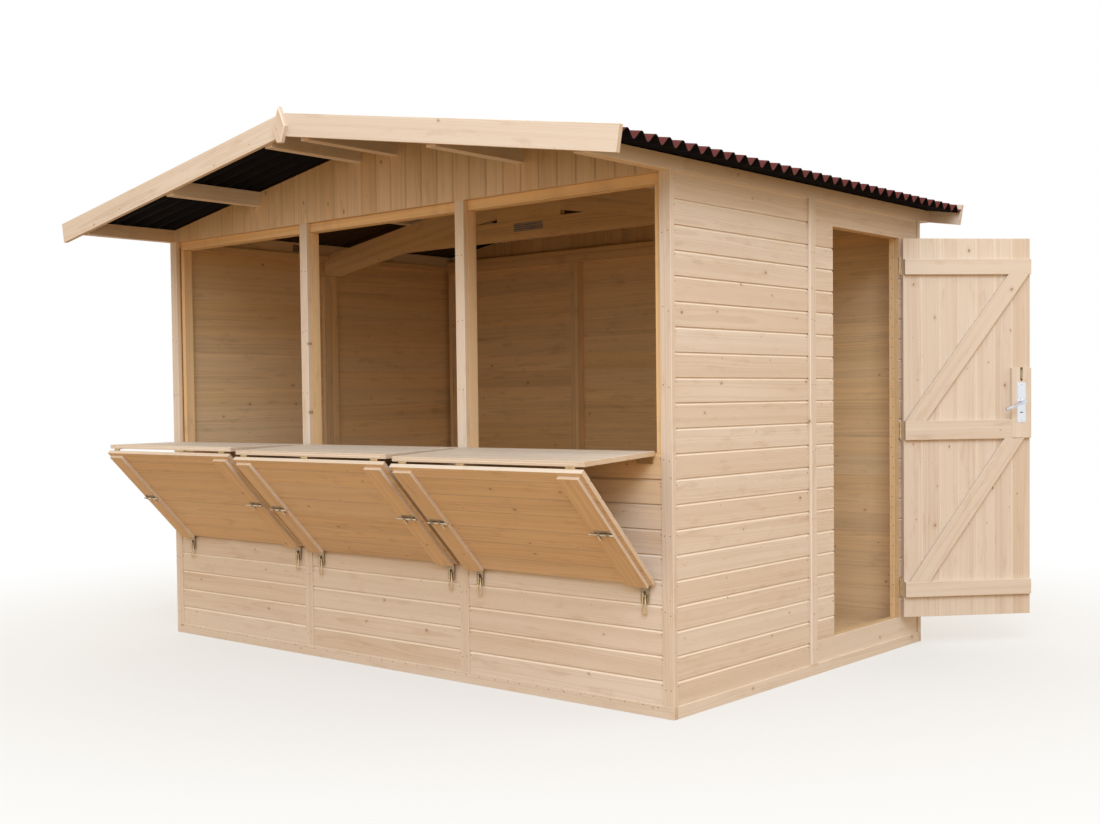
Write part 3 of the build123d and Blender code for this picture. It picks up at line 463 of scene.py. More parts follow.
def largest(faces):
    """Normal of the largest face."""
    return max(faces, key=lambda f: f.calc_area()).normal.copy()


def longest(piece):
    """Direction of the longest edge."""
    a, b = max(piece.edges, key=lambda e: e.calc_length()).verts
    return (b.co - a.co).normalized()


def steps(start, pitch, stop):
    """Evenly spaced values from start to stop."""
    return [start + k * pitch for k in range(int((stop - start) / pitch) + 1)]


def panel_run(node, way):
    """Direction in the plane of a leaning panel that is nearest to the given way."""
    panel = solids(node)[0]
    run = largest(panel.faces).cross(X).normalized()
    return run if run.dot(way) > 0 else -run


def nearest_flap(x):
    """Node and middle of the flap nearest to a place along the front."""
    middles = {node: sum(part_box(node), Vector()).x / 2
               for node in (f"flap_{bay}" for bay in BAYS)}
    node = min(middles, key=lambda node: abs(middles[node] - x))
    return node, middles[node]


# ---- Timber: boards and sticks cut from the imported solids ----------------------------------
def slab(piece, direction, low, high):
    """The closed part of a solid between two planes across a direction."""
    part = piece.copy()
    for limit, way in ((low, -1), (high, 1)):
        everything = part.verts[:] + part.edges[:] + part.faces[:]
        bmesh.ops.bisect_plane(part, geom=everything, dist=1e-7, plane_co=direction * limit,
                               plane_no=direction * way, clear_outer=True)
        open_edges = [e for e in part.edges if e.is_boundary]
        if open_edges:
            bmesh.ops.holes_fill(part, edges=open_edges, sides=0)
    bmesh.ops.recalc_face_normals(part, faces=part.faces)
    return part


def sliced(piece, direction, cuts):
    """A panel cut into boards at each of the cuts that falls inside it."""
    low, high = span(piece, direction)
    inside = [c for c in sorted(cuts) if low + 2 * MM < c < high - 2 * MM]
    limits = [low - MM] + inside + [high + MM]
    parts = [slab(piece, direction, a, b) for a, b in zip(limits, limits[1:])]
    return [part for part in parts if part.faces]


GRAIN_SENSE = Vector((1, 1.1, 1.2))      # settles which way along an edge the grain runs


def grain_axes(piece, along=None):
    """Unit vectors along the grain, across the board and through it."""
    if along is None:
        along = longest(piece)
        if along.dot(GRAIN_SENSE) < 0:
            along = -along
    through = largest([f for f in piece.faces if abs(f.normal.dot(along)) < 0.2])
    through = (through - along * through.dot(along)).normalized()
    return along, through.cross(along).normalized(), through


class Timbers:
    """Boards gathered into one mesh with the attributes that the spruce shader reads."""

    SHADE = 0.36           # height of the wall that the open flaps keep in the shade
    FRONT_WALL = 0.03      # half the depth that counts as the front wall's boards
    DRIFT = 40             # boards are cut from places this far apart in the wood
    SHARP = math.radians(25)

    # the least share of painted warm shade on the faces and on the sawn ends
    def __init__(self, seed, indoors=0.0, ends=0.0):
        self.draw = random.Random(seed)
        self.verts, self.faces, self.grain, self.board, self.indoors = [], [], [], [], []
        side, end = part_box("right_front_boards"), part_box("front_boards")
        self.room = (side[0].x + side[1].x) / 2, -(end[0].y + end[1].y) / 2
        self.counter = end[1].z
        self.least, self.ends = indoors, ends

    def add(self, piece, along=None):
        """Eases the arrises of a board and marks its grain, its tone, its sawn ends, the eased and
        bevelled faces that get a painted highlight, and its share of painted warm shade.
        """
        axes = grain_axes(piece, along)
        centre = [sum(span(piece, axis)) / 2 for axis in axes]
        centre[0] += self.draw.uniform(-self.DRIFT, self.DRIFT)
        pick, turned = self.draw.random(), self.draw.random()
        sharp = [e for e in piece.edges
                 if len(e.link_faces) == 2 and e.calc_face_angle_signed(0) > self.SHARP]
        made = bmesh.ops.bevel(piece, geom=sharp, offset=bpy.context.scene.stall_wood.eased,
                               offset_type="OFFSET", segments=2, profile=0.5, affect="EDGES",
                               clamp_overlap=True)
        rounded_faces = set(made["faces"])
        start = len(self.verts)
        piece.verts.index_update()
        self.verts += [v.co.copy() for v in piece.verts]
        for face in piece.faces:
            self.faces.append([start + v.index for v in face.verts])
            along_way, across_way, out_way = (abs(face.normal.dot(axis)) for axis in axes)
            end = along_way > 0.75
            # faces that lean partly out, such as the shiplap bevels, take the painted highlight of
            # the eased edges
            tilted = along_way < 0.3 and 0.15 < out_way < 0.97
            state = 1.0 if end else -1.0 if face in rounded_faces or tilted else 0.0
            least = self.ends if end else 0.0 if across_way > 0.75 else self.least
            for vert in face.verts:
                self.grain += [vert.co.dot(axis) - c for axis, c in zip(axes, centre)]
                self.board += [pick, turned, state]
                self.indoors += [self.shade_tone_share(vert.co, least), 0, 0]
        piece.free()

    def shade_tone_share(self, place, least):
        """Share of the painted warm shade tone: 1 indoors, and a fade from the shelves down the
        front wall that the open flaps keep in the shade; the least share elsewhere.
        """
        if abs(place.x) >= self.room[0]:
            return least
        if abs(place.y) < self.room[1]:
            return 1.0
        under = (place.z - self.counter) / self.SHADE + 1
        at_front = abs(place.y + self.room[1]) < self.FRONT_WALL
        return under if at_front and 0 < under < 1.01 else least

    def add_all(self, pieces, along=None):
        for piece in pieces:
            self.add(piece, along)

    def make(self, name, body, node, slot="softwood"):
        """The finished object: it rides on its body and stands for its CAD node."""
        mesh = bpy.data.meshes.new(name)
        mesh.from_pydata(self.verts, [], self.faces)
        for attribute in ("grain", "board", "indoors"):
            layer = mesh.attributes.new(attribute, "FLOAT_VECTOR", "CORNER")
            layer.data.foreach_set("vector", getattr(self, attribute))
        mesh.materials.append(material("wood"))
        return placed(name, mesh, body, [node])


def placed(name, data, body, nodes):
    """An object that rides on a body and stands for the CAD nodes."""
    piece = bpy.data.objects.new(name, data)
    bpy.context.scene.collection.objects.link(piece)
    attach(piece, body)
    if nodes:
        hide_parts(*nodes)
    return piece


def wood_from(node, body="stall", cut_along=None, cuts=(), along=None, slot="softwood", **shade_shares):
    """One CAD node dressed as timber, cut into boards where cuts are given."""
    timbers = Timbers(f"{bpy.context.scene.stall_wood.seed} {node}", **shade_shares)
    for solid in solids(node):
        timbers.add_all(sliced(solid, cut_along, cuts) if cut_along else [solid], along)
    return timbers.make(f"{node}_wood", body, node, slot)


# ---- Shapes for the hardware ---------------------------------------------------------------
def rounded(width, height, radius, count=5):
    """Outline of a rectangle with rounded corners, about the origin."""
    points = []
    for quarter, (sx, sy) in enumerate(((1, 1), (-1, 1), (-1, -1), (1, -1))):
        cx, cy = sx * (width / 2 - radius), sy * (height / 2 - radius)
        for k in range(count + 1):
            angle = math.pi / 2 * (quarter + k / count)
            points.append((cx + radius * math.cos(angle), cy + radius * math.sin(angle)))
    return points


def circle(radius, count, y=0.0):
    turns = [2 * math.pi * k / count for k in range(count)]
    return [(radius * math.cos(t), y + radius * math.sin(t)) for t in turns]


def raised(outline, y):
    return [(x, v + y) for x, v in outline]


def frame_at(origin, x_axis, y_axis):
    """Placing matrix with its X and Y axes along two directions."""
    x_axis, y_axis = Vector(x_axis).normalized(), Vector(y_axis).normalized()
    matrix = Matrix((x_axis, y_axis, x_axis.cross(y_axis))).transposed().to_4x4()
    matrix.translation = origin
    return matrix


def moved(x=0.0, y=0.0, z=0.0):
    return Matrix.Translation((x, y, z))


ALONG_X = frame_at((0, 0, 0), Y, Z)      # lays what is drawn along Z along X


def smoothed(data, angle):
    """Smooth shading with edges kept sharp above an angle in degrees."""
    data.polygons.foreach_set("use_smooth", [True] * len(data.polygons))
    data.set_sharp_from_angle(angle=math.radians(angle))
    return data


class Metalwork:
    """Plates, bars and rods gathered into one mesh."""

    LEAF = 1.8 * MM        # hinge leaves
    LEAF_PLAY = 0.25 * MM  # between knuckles
    LEAF_CORNER = 2 * MM

    def __init__(self, *finishes):
        self.finishes = finishes
        self.mesh = bmesh.new()

    def take(self, data, place, finish):
        """Adds a mesh, placed, in one of the finishes, and drops the data block."""
        data.transform(place)
        if place.determinant() < 0:
            data.flip_normals()
        index = self.finishes.index(finish)
        data.polygons.foreach_set("material_index", [index] * len(data.polygons))
        self.mesh.from_mesh(data)
        bpy.data.meshes.remove(data)

    def from_curve(self, kind, settings, splines, place, finish, closed=True):
        """Mesh of a curve with the given settings; a point is x, y, z and its thickness."""
        curve = bpy.data.curves.new("bar", "CURVE")
        for name, value in settings.items():
            setattr(curve, name, value)
        for points in splines:
            spline = curve.splines.new(kind)
            spline.points.add(len(points) - 1)
            for point, (x, y, z, share) in zip(spline.points, points):
                point.co = (x, y, z, 1)
                point.radius = share
            spline.order_u = 3
            spline.use_cyclic_u = closed
            spline.use_endpoint_u = not closed
        holder = bpy.data.objects.new("holder", curve)
        data = bpy.data.meshes.new_from_object(holder)
        bpy.data.objects.remove(holder)
        bpy.data.curves.remove(curve)
        self.take(data, place, finish)

    def plate(self, outlines, thickness, place, finish, edge=0.3 * MM):
        """Flat plate on z = 0 of its frame; outlines after the first are holes."""
        settings = {"dimensions": "2D", "fill_mode": "BOTH", "extrude": thickness / 2 - edge,
                    "bevel_depth": edge, "bevel_resolution": 1, "offset": -edge}
        splines = [[(x, y, 0, 1) for x, y in outline] for outline in outlines]
        self.from_curve("POLY", settings, splines, place @ moved(z=thickness / 2), finish)

    def wire(self, points, radius, place, finish, closed=False, sides=3, swell=None):
        """Round bar bent smoothly along points; swell is its thickness at each of them."""
        settings = {"dimensions": "3D", "bevel_depth": radius, "bevel_resolution": sides,
                    "use_fill_caps": True, "resolution_u": 6}
        line = [(*spot, share) for spot, share in zip(points, swell or [1] * len(points))]
        self.from_curve("NURBS", settings, [line], place, finish, closed)

    def rod(self, radius, low, high, place, finish, sides=20, edge=0.4 * MM):
        """Round bar along Z of its frame, with eased ends."""
        bar = bmesh.new()
        bmesh.ops.create_cone(bar, cap_ends=True, segments=sides, radius1=radius,
                              radius2=radius, depth=high - low)
        rims = [e for e in bar.edges if e.calc_face_angle(0) > 1]
        bmesh.ops.bevel(bar, geom=rims, offset=edge, segments=2, profile=0.5, affect="EDGES")
        data = bpy.data.meshes.new("rod")
        bar.to_mesh(data)
        bar.free()
        self.take(data, place @ moved(z=(low + high) / 2), finish)

    def screw(self, place, finish):
        """Countersunk head with its cross recess drawn as a dark cross of painted shade, on z = 0
        of its frame.
        """
        radius = bpy.context.scene.stall_hardware.screw
        self.rod(radius, -0.6 * MM, 0.6 * MM, place, finish, 14, 0.5 * MM)
        cross = rounded(radius * 1.2, radius * 0.28, radius * 0.1, 1)
        for turned in (0, math.pi / 2):
            arm = place @ Matrix.Rotation(turned, 4, "Z") @ moved(z=0.45 * MM)
            self.plate([cross], 0.3 * MM, arm, "dark", 0.05 * MM)

    def screws(self, place, xs, ys, z, finish):
        for x in xs:
            for y in ys:
                self.screw(place @ moved(x, y, z), finish)

    def strap(self, radius, wall, rise, foot, width, place, finish):
        """Strap bent over a rod along X of the frame, with a foot on each side."""
        arch = circle(1, 16)[:9]
        outer, inner = ([(r * x, rise + r * y) for x, y in arch] for r in (radius + wall, radius))
        outline = [(foot, 0), (foot, wall), (radius + wall, wall), *outer,
                   (-radius - wall, wall), (-foot, wall), (-foot, 0), (-radius, 0),
                   *reversed(inner), (radius, 0)]
        self.plate([outline], width, place @ moved(-width / 2) @ ALONG_X, finish)

    def leaf(self, pin, away, face, own, length, reach, radius, seat, parts):
        """Hinge leaf on a board: face is the way to the board, away the way from the pin; own
        are the knuckles that it carries, of all the parts."""
        half, clear, play, corner = length / 2, radius + MM, self.LEAF_PLAY, self.LEAF_CORNER
        along = face.cross(away)
        place = frame_at(pin + face * (seat - self.LEAF), away, along)
        outline = [(clear, -half)]
        for k in own:
            low, high = (-half + (k + end) * length / parts for end in (0, 1))
            low, high = low + play, high - play
            outline += [(clear, low), (0, low), (0, high), (clear, high)]
            self.rod(radius, low, high, frame_at(pin, face, away), "yellow", 18)
        outline.append((clear, half))
        for way in (1, -1):
            bend = [(reach - corner + corner * x, way * (half - corner + corner * y))
                    for y, x in circle(1, 16)[:5]]
            outline += bend[::way]
        self.plate([outline], self.LEAF, place, "yellow")
        for share in (-0.7, 0, 0.7):
            spot = place @ Vector(((clear + reach) / 2, half * share, 0))
            self.screw(frame_at(spot, along, away), "yellow")

    def make(self, name, body, nodes, slot="zinc"):
        data = bpy.data.meshes.new(name)
        bmesh.ops.recalc_face_normals(self.mesh, faces=self.mesh.faces)
        self.mesh.to_mesh(data)
        self.mesh.free()
        for finish in self.finishes:
            data.materials.append(material(finish))
        return placed(name, smoothed(data, 38), body, nodes)


# ---- Operators: wood -------------------------------------------------------------------------
class STALL_OT_wall_boards(bpy.types.Operator):
    """Shiplap boards of the four walls"""
    bl_idname = "stall.wall_boards"
    bl_label = "Wall boards"

    JOINT_CUT = 0.5 * MM   # below each shiplap joint, behind its shadow groove

    def execute(self, context):
        sill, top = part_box("sills")[1].z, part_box("rear_boards")[1].z
        pitch = context.scene.stall_wood.pitch
        cuts = [z - self.JOINT_CUT for z in steps(sill, pitch, top)]
        for node, along in (("front_boards", X), ("rear_boards", X), ("left_boards", Y),
                            ("right_front_boards", Y), ("right_door_end_boards", Y)):
            wood_from(node, cut_along=Z, cuts=cuts, along=along)
        # the sawn ends beside the doorway, which the door keeps in shade, get the full painted warm
        # shade
        wood_from("right_door_side_boards", cut_along=Z, cuts=cuts, along=Y, ends=1.0)
        return {"FINISHED"}


class STALL_OT_frame_timbers(bpy.types.Operator):
    """Sills, floor, studs, rails and cover strips"""
    bl_idname = "stall.frame_timbers"
    bl_label = "Frame timbers"

    def execute(self, context):
        wood_from("sills", slot="sill_wood")
        for node in ("floor_frame", "end_studs", "side_studs", "end_rails", "side_rails",
                     "opening_rails", "cover_strips", "floor_deck"):
            wood_from(node)
        return {"FINISHED"}


class STALL_OT_roof_timbers(bpy.types.Operator):
    """Purlins, gables, bargeboards, finials and the middle truss"""
    bl_idname = "stall.roof_timbers"
    bl_label = "Roof timbers"

    GROOVE = 9 * MM        # V groove between the gable boards
    SEAM = 0.2 * MM        # the gable boards are cut this far behind their back

    def execute(self, context):
        for node in ("purlins", "bargeboards", "finials", "truss_rafters", "truss_tie",
                     "truss_block"):
            wood_from(node)
        self.gables(context.scene.stall_wood)
        return {"FINISHED"}

    def gables(self, wood):
        """Upright boards, and a rail along their foot on the inner side."""
        low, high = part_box("gables")
        half = wood.pitch * int((high.x - low.x - self.GROOVE) / wood.pitch) / 2
        cuts = steps(-half, wood.pitch, half + MM)
        seam = self.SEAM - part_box("end_studs")[1].y
        # the gables, in shade under the overhang, get half the painted warm shade
        timbers = Timbers(f"{wood.seed} gables", indoors=0.5)
        for solid in solids("gables"):
            out = -Y if middle(solid).y < 0 else Y
            panel, rail = slab(solid, out, -seam, high.y + MM), slab(solid, out, 0, -seam)
            timbers.add_all(sliced(panel, X, cuts), Z)
            timbers.add(rail, X)
        timbers.make("gables_wood", "stall", "gables")


class STALL_OT_shutter_boards(bpy.types.Operator):
    """Shelves and flaps of the serving shutters, with their battens"""
    bl_idname = "stall.shutter_boards"
    bl_label = "Shutter boards"

    # way from the hinge, width of the first board and share of the painted warm shade
    LEAVES = {"shelf": (-Y, 72 * MM, 0.0), "flap": (-Z, 53 * MM, 0.7)}

    def execute(self, context):
        pitch = context.scene.stall_wood.shutter_pitch
        for bay in BAYS:
            for kind, (way, first, indoors) in self.LEAVES.items():
                node = f"{kind}_{bay}"
                run = panel_run(node, way)
                low, high = span(solids(node)[0], run)
                wood_from(node, cut_along=run, cuts=steps(low + first, pitch, high), along=X,
                          indoors=indoors)
        # the flap battens get the painted warm shade of the flaps
        wood_from("flap_battens", indoors=0.7)
        return {"FINISHED"}


class STALL_OT_door_boards(bpy.types.Operator):
    """Boards, ledges, braces and lock block of the door"""
    bl_idname = "stall.door_boards"
    bl_label = "Door boards"

    BOARDS = 7

    def execute(self, context):
        leaf = solids("door_boards")[0]
        across = largest(leaf.faces).cross(Z).normalized()
        low, high = span(leaf, across)
        pitch = (high - low) / self.BOARDS
        wood_from("door_boards", "door", across, steps(low + pitch, pitch, high), Z)
        for node in ("door_ledges", "door_braces", "lock_block"):
            wood_from(node, "door")
        return {"FINISHED"}


# ---- Operators: roofing ----------------------------------------------------------------------
class STALL_OT_roofing(bpy.types.Operator):
    """Corrugated sheets, the ridge cap and their capped nails"""
    bl_idname = "stall.roofing"
    bl_label = "Roofing"

    STEPS = 20             # points to a wave
    ROWS = 10              # lengths down the slope
    CAP_HEIGHT = 5 * MM
    EVERY = 3              # waves from nail to nail
    RIDGE_ROW = 0.09       # nails of the ridge cap from the ridge

    def execute(self, context):
        roofing = context.scene.stall_roofing
        nails = Metalwork("red")
        rows = sorted({round(abs(middle(beam).x), 2) for beam in solids("purlins")})
        for side, way in (("left", -1), ("right", 1)):
            node = f"roof_sheet_{side}"
            slope, up, crest = self.sheet(roofing, node, way)
            self.nails(roofing, nails, node, slope, up, crest, [way * x for x in rows])
        refinish("ridge_cap", "red")
        cap = solids("ridge_cap")[0]
        for way in (-1, 1):
            up = max((f.normal for f in cap.faces if f.normal.z > 0.9 and f.normal.x * way > 0),
                     key=lambda normal: normal.z).copy()
            self.nails(roofing, nails, "ridge_cap", Y.cross(up) * way, up, span(cap, up)[1],
                       [way * self.RIDGE_ROW])
        nails.make("roof_nails", "stall", [], "roofing")
        return {"FINISHED"}

    def sheet(self, roofing, node, way):
        """A closed corrugated shell; its directions down the slope and off it, and the height
        of its crests along the second."""
        solid = solids(node)[0]
        low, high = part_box(node)
        slope = longest(solid)
        slope = slope if slope.x * way > 0 else -slope
        up = Vector((-slope.z, 0, slope.x)) * way
        start, stop = span(solid, slope)
        half, rise = roofing.thickness / 2, roofing.height / 2
        base = span(solid, up)[0] + half
        pitch = (high.y - low.y) / roofing.waves
        count = roofing.waves * self.STEPS
        section = []
        for k in range(count + 1):
            angle = 2 * math.pi * k / self.STEPS
            gradient = 2 * math.pi * rise / pitch * math.cos(angle)
            for lift in (half, -half):
                offset = lift / math.hypot(1, gradient)
                shift = 0 if k in (0, count) else -gradient * offset
                section.append(up * (base + rise * (1 + math.sin(angle)) + offset)
                               + Y * (low.y + k * pitch / self.STEPS + shift))
        verts = [slope * (start + (stop - start) * row / self.ROWS) + point
                 for row in range(self.ROWS + 1) for point in section]
        top, dark = self.shell(count)
        data = bpy.data.meshes.new(f"{node}_bitumen")
        data.from_pydata(verts, [], top + dark)
        for finish in ("red", "black", "dusty"):
            data.materials.append(material(finish))
        side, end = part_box("right_front_boards")[0].x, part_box("rear_boards")[0].y
        for face in data.polygons[len(top):]:
            indoors = abs(face.center.x) < side and abs(face.center.y) < end
            face.material_index = 2 if indoors else 1
        clean = bmesh.new()
        clean.from_mesh(data)
        bmesh.ops.recalc_face_normals(clean, faces=clean.faces)
        clean.to_mesh(data)
        clean.free()
        placed(f"{node}_bitumen", smoothed(data, 50), "stall", [node])
        return slope, up, base + 2 * rise + half

    def shell(self, count):
        """Upper faces of a sheet, and its lower faces and cut edges; each point of the section
        has its upper and its lower vertex."""
        row = 2 * (count + 1)
        starts = [r * row for r in range(self.ROWS)]
        cells = [start + 2 * k for start in starts for k in range(count)]
        sides = [start + 2 * k for start in starts for k in (0, count)]
        ends = [r * row + 2 * k for r in (0, self.ROWS) for k in range(count)]
        return ([(a, a + 2, a + row + 2, a + row) for a in cells],
                [(a + 1, a + row + 1, a + row + 3, a + 3) for a in cells]
                + [(a, a + row, a + row + 1, a + 1) for a in sides]
                + [(a, a + 1, a + 3, a + 2) for a in ends])

    def nails(self, roofing, nails, node, slope, up, height, rows):
        """Capped nails on the crests, in rows at given x on the plane at that height along up."""
        low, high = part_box(node)
        pitch = (high.y - low.y) / roofing.waves
        for x in rows:
            spot = slope * ((x - height * up.x) / slope.x) + up * height
            for wave in range(1, roofing.waves, self.EVERY):
                place = frame_at(spot + Y * (low.y + (wave + 0.25) * pitch), slope, Y)
                nails.rod(roofing.cap, -MM, self.CAP_HEIGHT, place, "red", 14, 2 * MM)


# ---- Operators: hardware ---------------------------------------------------------------------
def refinish(node, finish):
    """A CAD node whose shape is right gets its finish in its material slots."""
    for place in NODES[node].material_slots:
        place.material = material(finish)


def leaf_way(solid, face, axis, pin):
    """Direction in which a hinge leaf runs from its pin."""
    away = face.cross(axis).normalized()
    return away if sum(span(solid, away)) > 2 * pin.dot(away) else -away


def joint_place(name):
    """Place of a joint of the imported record."""
    joints = frame["record"]["behaviour"]["joints"]
    return Vector(next(joint["pos_m"] for joint in joints if joint["name"] == name))


class STALL_OT_shutter_hinges(bpy.types.Operator):
    """Butt hinges at the walls and at the folds of the shutters"""
    bl_idname = "stall.shutter_hinges"
    bl_label = "Shutter hinges"

    RADIUS = 4 * MM
    REACH = 25 * MM

    def execute(self, context):
        metal = Metalwork("yellow", "dark")
        for solid in solids("shutter_hinges"):
            normals = [f.normal.copy() for f in sorted(solid.faces, key=lambda f: -f.calc_area())]
            first = normals[0]
            second = next(n for n in normals if abs(n.x) < 0.1 and abs(n.dot(first)) < 0.95)
            pin = self.pin(solid, first, second)
            low, high = span(solid, X)
            parts = 5 if high - low > 2 * self.REACH else 3
            for face, start in ((first, 0), (second, 1)):
                metal.leaf(pin, leaf_way(solid, face, X, pin), face, range(start, parts, 2),
                           high - low, self.REACH, self.RADIUS, self.RADIUS, parts)
        metal.make("shutter_hinge_pairs", "stall", ["shutter_hinges"])
        return {"FINISHED"}

    def pin(self, solid, first, second):
        """Middle of the pin, a radius behind both of the faces that lie on boards."""
        a, b = (span(solid, face)[1] - self.RADIUS for face in (first, second))
        area = first.y * second.z - first.z * second.y
        y, z = (a * second.z - b * first.z) / area, (b * first.y - a * second.y) / area
        return Vector((sum(span(solid, X)) / 2, y, z))


class STALL_OT_barrel_bolts(bpy.types.Operator):
    """Barrel bolts on the flap battens"""
    bl_idname = "stall.barrel_bolts"
    bl_label = "Barrel bolts"

    PLATE = (76 * MM, 30 * MM, 1.5 * MM)
    SCREWS = (32 * MM, 9 * MM)       # from the middle of the plate
    RADIUS = 4 * MM
    LENGTH = 110 * MM
    SHIFT = 8 * MM                   # middle of the rod from that of the plate, inwards
    RISE = 6.5 * MM                  # rod over the batten
    GUIDES = (-18 * MM, 22 * MM)
    GUIDE = (1.5 * MM, 11 * MM)      # wall and width
    KNOB = (-26 * MM, 28 * MM)       # place and length

    def execute(self, context):
        metal = Metalwork("dull", "zinc", "dark")
        for solid in solids("barrel_bolts"):
            x = sum(span(solid, X)) / 2
            across = X if x > nearest_flap(x)[1] else -X
            self.bolt(metal, solid, across, -largest(solid.faces))
        metal.make("barrel_bolt_sets", "stall", ["barrel_bolts"])
        return {"FINISHED"}

    def bolt(self, metal, solid, across, out):
        up = out.cross(across)
        hang = -1 if up.z > 0 else 1
        width, height, thick = self.PLATE
        centre = (across * (span(solid, across)[0] + self.LENGTH / 2 + self.SHIFT)
                  + up * hang * (span(solid, up * hang)[0] + height / 2)
                  + out * span(solid, out)[0])
        place = frame_at(centre, across, up)
        metal.plate([rounded(width, height, 5 * MM)], thick, place, "dull")
        x, y = self.SCREWS
        metal.screws(place, (-x, x), (-y, y), thick, "zinc")
        wall, broad = self.GUIDE
        for x in self.GUIDES:
            metal.strap(self.RADIUS + 0.3 * MM, wall, self.RISE - thick, broad, broad,
                        place @ moved(x, 0, thick), "dull")
        metal.rod(self.RADIUS, -self.LENGTH / 2, self.LENGTH / 2,
                  place @ moved(-self.SHIFT, 0, self.RISE) @ ALONG_X, "zinc", 18, MM)
        at, drop = self.KNOB
        knob = place @ moved(at, 0, self.RISE) @ Matrix.Rotation(-hang * math.pi / 2, 4, "X")
        metal.rod(3 * MM, 0, drop - 6 * MM, knob, "zinc", 14)
        metal.rod(4.6 * MM, drop - 8 * MM, drop, knob, "zinc", 14, 2 * MM)


class STALL_OT_hasps(bpy.types.Operator):
    """Hasps at the feet of the flaps and the staples that they hang on"""
    bl_idname = "stall.hasps"
    bl_label = "Hasps"

    PLATE = (36 * MM, 78 * MM, 2 * MM)
    SLOT = (12 * MM, 24 * MM, 3 * MM)          # width, height and corners
    SLOT_DROP = 47 * MM                        # below the knuckle
    KNUCKLE = 2.5 * MM
    STRAP = 28 * MM
    STAPLE = (28 * MM, 44 * MM, 2 * MM)
    WIRE = 2 * MM
    SPREAD = 6.5 * MM      # half the height of the staple's wire

    def execute(self, context):
        metal = Metalwork("dull", "zinc", "dark")
        for solid in solids("hasps"):
            low, high = corners(solid)
            if high.z - low.z > self.PLATE[1] - MM:
                self.hasp(metal, solid, low.z)
            else:
                self.staple(metal, low, high)
        metal.make("hasp_sets", "stall", ["hasps"])
        return {"FINISHED"}

    def hasp(self, metal, solid, low):
        width, drop, thick = self.PLATE
        foot = [v.co for v in solid.verts if v.co.z < low + 0.1 * MM]
        pin = sum(foot, Vector()) / len(foot) + Z * drop
        place = frame_at(pin, X, Z)
        slot = raised(rounded(*self.SLOT), drop / 2 - self.SLOT_DROP)
        metal.plate([rounded(width, drop, 6 * MM), slot], thick,
                    place @ moved(0, -drop / 2, -thick / 2), "dull")
        third, play = width / 3, 0.2 * MM
        for k in range(3):
            x = (k - 1.5) * third
            metal.rod(self.KNUCKLE, x + play, x + third - play, place @ ALONG_X, "dull", 16)
        rise = -panel_run(nearest_flap(pin.x)[0], -Z)
        strap = frame_at(pin, -X, rise) @ moved(0, self.STRAP / 2 + MM)
        metal.plate([rounded(width, self.STRAP, 3 * MM)], thick, strap, "dull")
        metal.screws(strap, (-10 * MM, 10 * MM), (3 * MM,), thick, "zinc")

    def staple(self, metal, low, high):
        width, height, thick = self.STAPLE
        place = frame_at(((low.x + high.x) / 2, high.y, (low.z + high.z) / 2), X, Z)
        metal.plate([rounded(width, height, 4 * MM)], thick, place, "dull")
        metal.screws(place, (0,), (-16 * MM, 16 * MM), thick, "zinc")
        out, half = high.y - low.y - self.WIRE, self.SPREAD
        loop = [(0, half, z) for z in (0, out * 0.6, out)]
        loop += [(0, -y, z) for _, y, z in reversed(loop)]
        metal.wire(loop, self.WIRE, place, "zinc")


class STALL_OT_snap_hooks(bpy.types.Operator):
    """Snap hooks that hang in the staples"""
    bl_idname = "stall.snap_hooks"
    bl_label = "Snap hooks"

    # outline from the top: share of the half width, share of the half height
    OUTLINE = ((0, 1.0), (0.5, 0.98), (0.62, 0.72), (0.55, 0.45), (0.72, 0.1), (0.98, -0.4),
               (1.0, -0.85), (0.5, -1.0))
    GATE = ((0.6, 0.5), (0.92, -0.25))         # ends of the sleeve, in the same shares
    WIRE = 2.5 * MM

    def execute(self, context):
        metal = Metalwork("yellow", "zinc")
        for solid in solids("snap_hooks"):
            low, high = corners(solid)
            wide, tall = ((high - low)[axis] / 2 - self.WIRE for axis in (0, 2))
            place = frame_at((low + high) / 2, X, Z)
            right = [(x * wide, y * tall, 0) for x, y in self.OUTLINE]
            left = [(-x, y, z) for x, y, z in reversed(right[1:])]
            metal.wire([*right, (0, -tall, 0), *left], self.WIRE, place, "yellow", closed=True)
            top, foot = (Vector((x * wide, y * tall, 0)) for x, y in self.GATE)
            sleeve = place @ frame_at(foot, Z, (top - foot).cross(Z))
            metal.rod(self.WIRE * 1.3, 0, (top - foot).length, sleeve, "zinc", 14)
        metal.make("snap_hook_wires", "stall", ["snap_hooks"])
        return {"FINISHED"}


class STALL_OT_nail_plates(bpy.types.Operator):
    """Toothed plates on the truss and the eave purlins"""
    bl_idname = "stall.nail_plates"
    bl_label = "Nail plates"

    SLOT = (9 * MM, 3 * MM, MM)      # punched slot: length, width and corners
    GRID = (14, 4)                   # slots along and across a plate

    def execute(self, context):
        metal = Metalwork("toothed")
        for solid in solids("nail_plates"):
            out = largest(solid.faces)
            along = X if abs(out.y) > 0.5 else Y
            ranges = [span(solid, axis) for axis in (along, Z, out)]
            sizes = [high - low for low, high in ranges]
            centre = along * sum(ranges[0]) / 2 + Z * sum(ranges[1]) / 2 + out * ranges[2][0]
            outlines = [rounded(*sizes[:2], 0.5 * MM, 1)]
            columns, rows = ([size * ((k + 0.5) / count - 0.5) for k in range(count)]
                             for size, count in zip(sizes, self.GRID))
            outlines += [[(x + u, y + v) for u, v in rounded(*self.SLOT, 1)]
                         for x in columns for y in rows]
            metal.plate(outlines, sizes[2], frame_at(centre, along, out.cross(along)), "toothed",
                        0.15 * MM)
        metal.make("toothed_plates", "stall", ["nail_plates"])
        return {"FINISHED"}


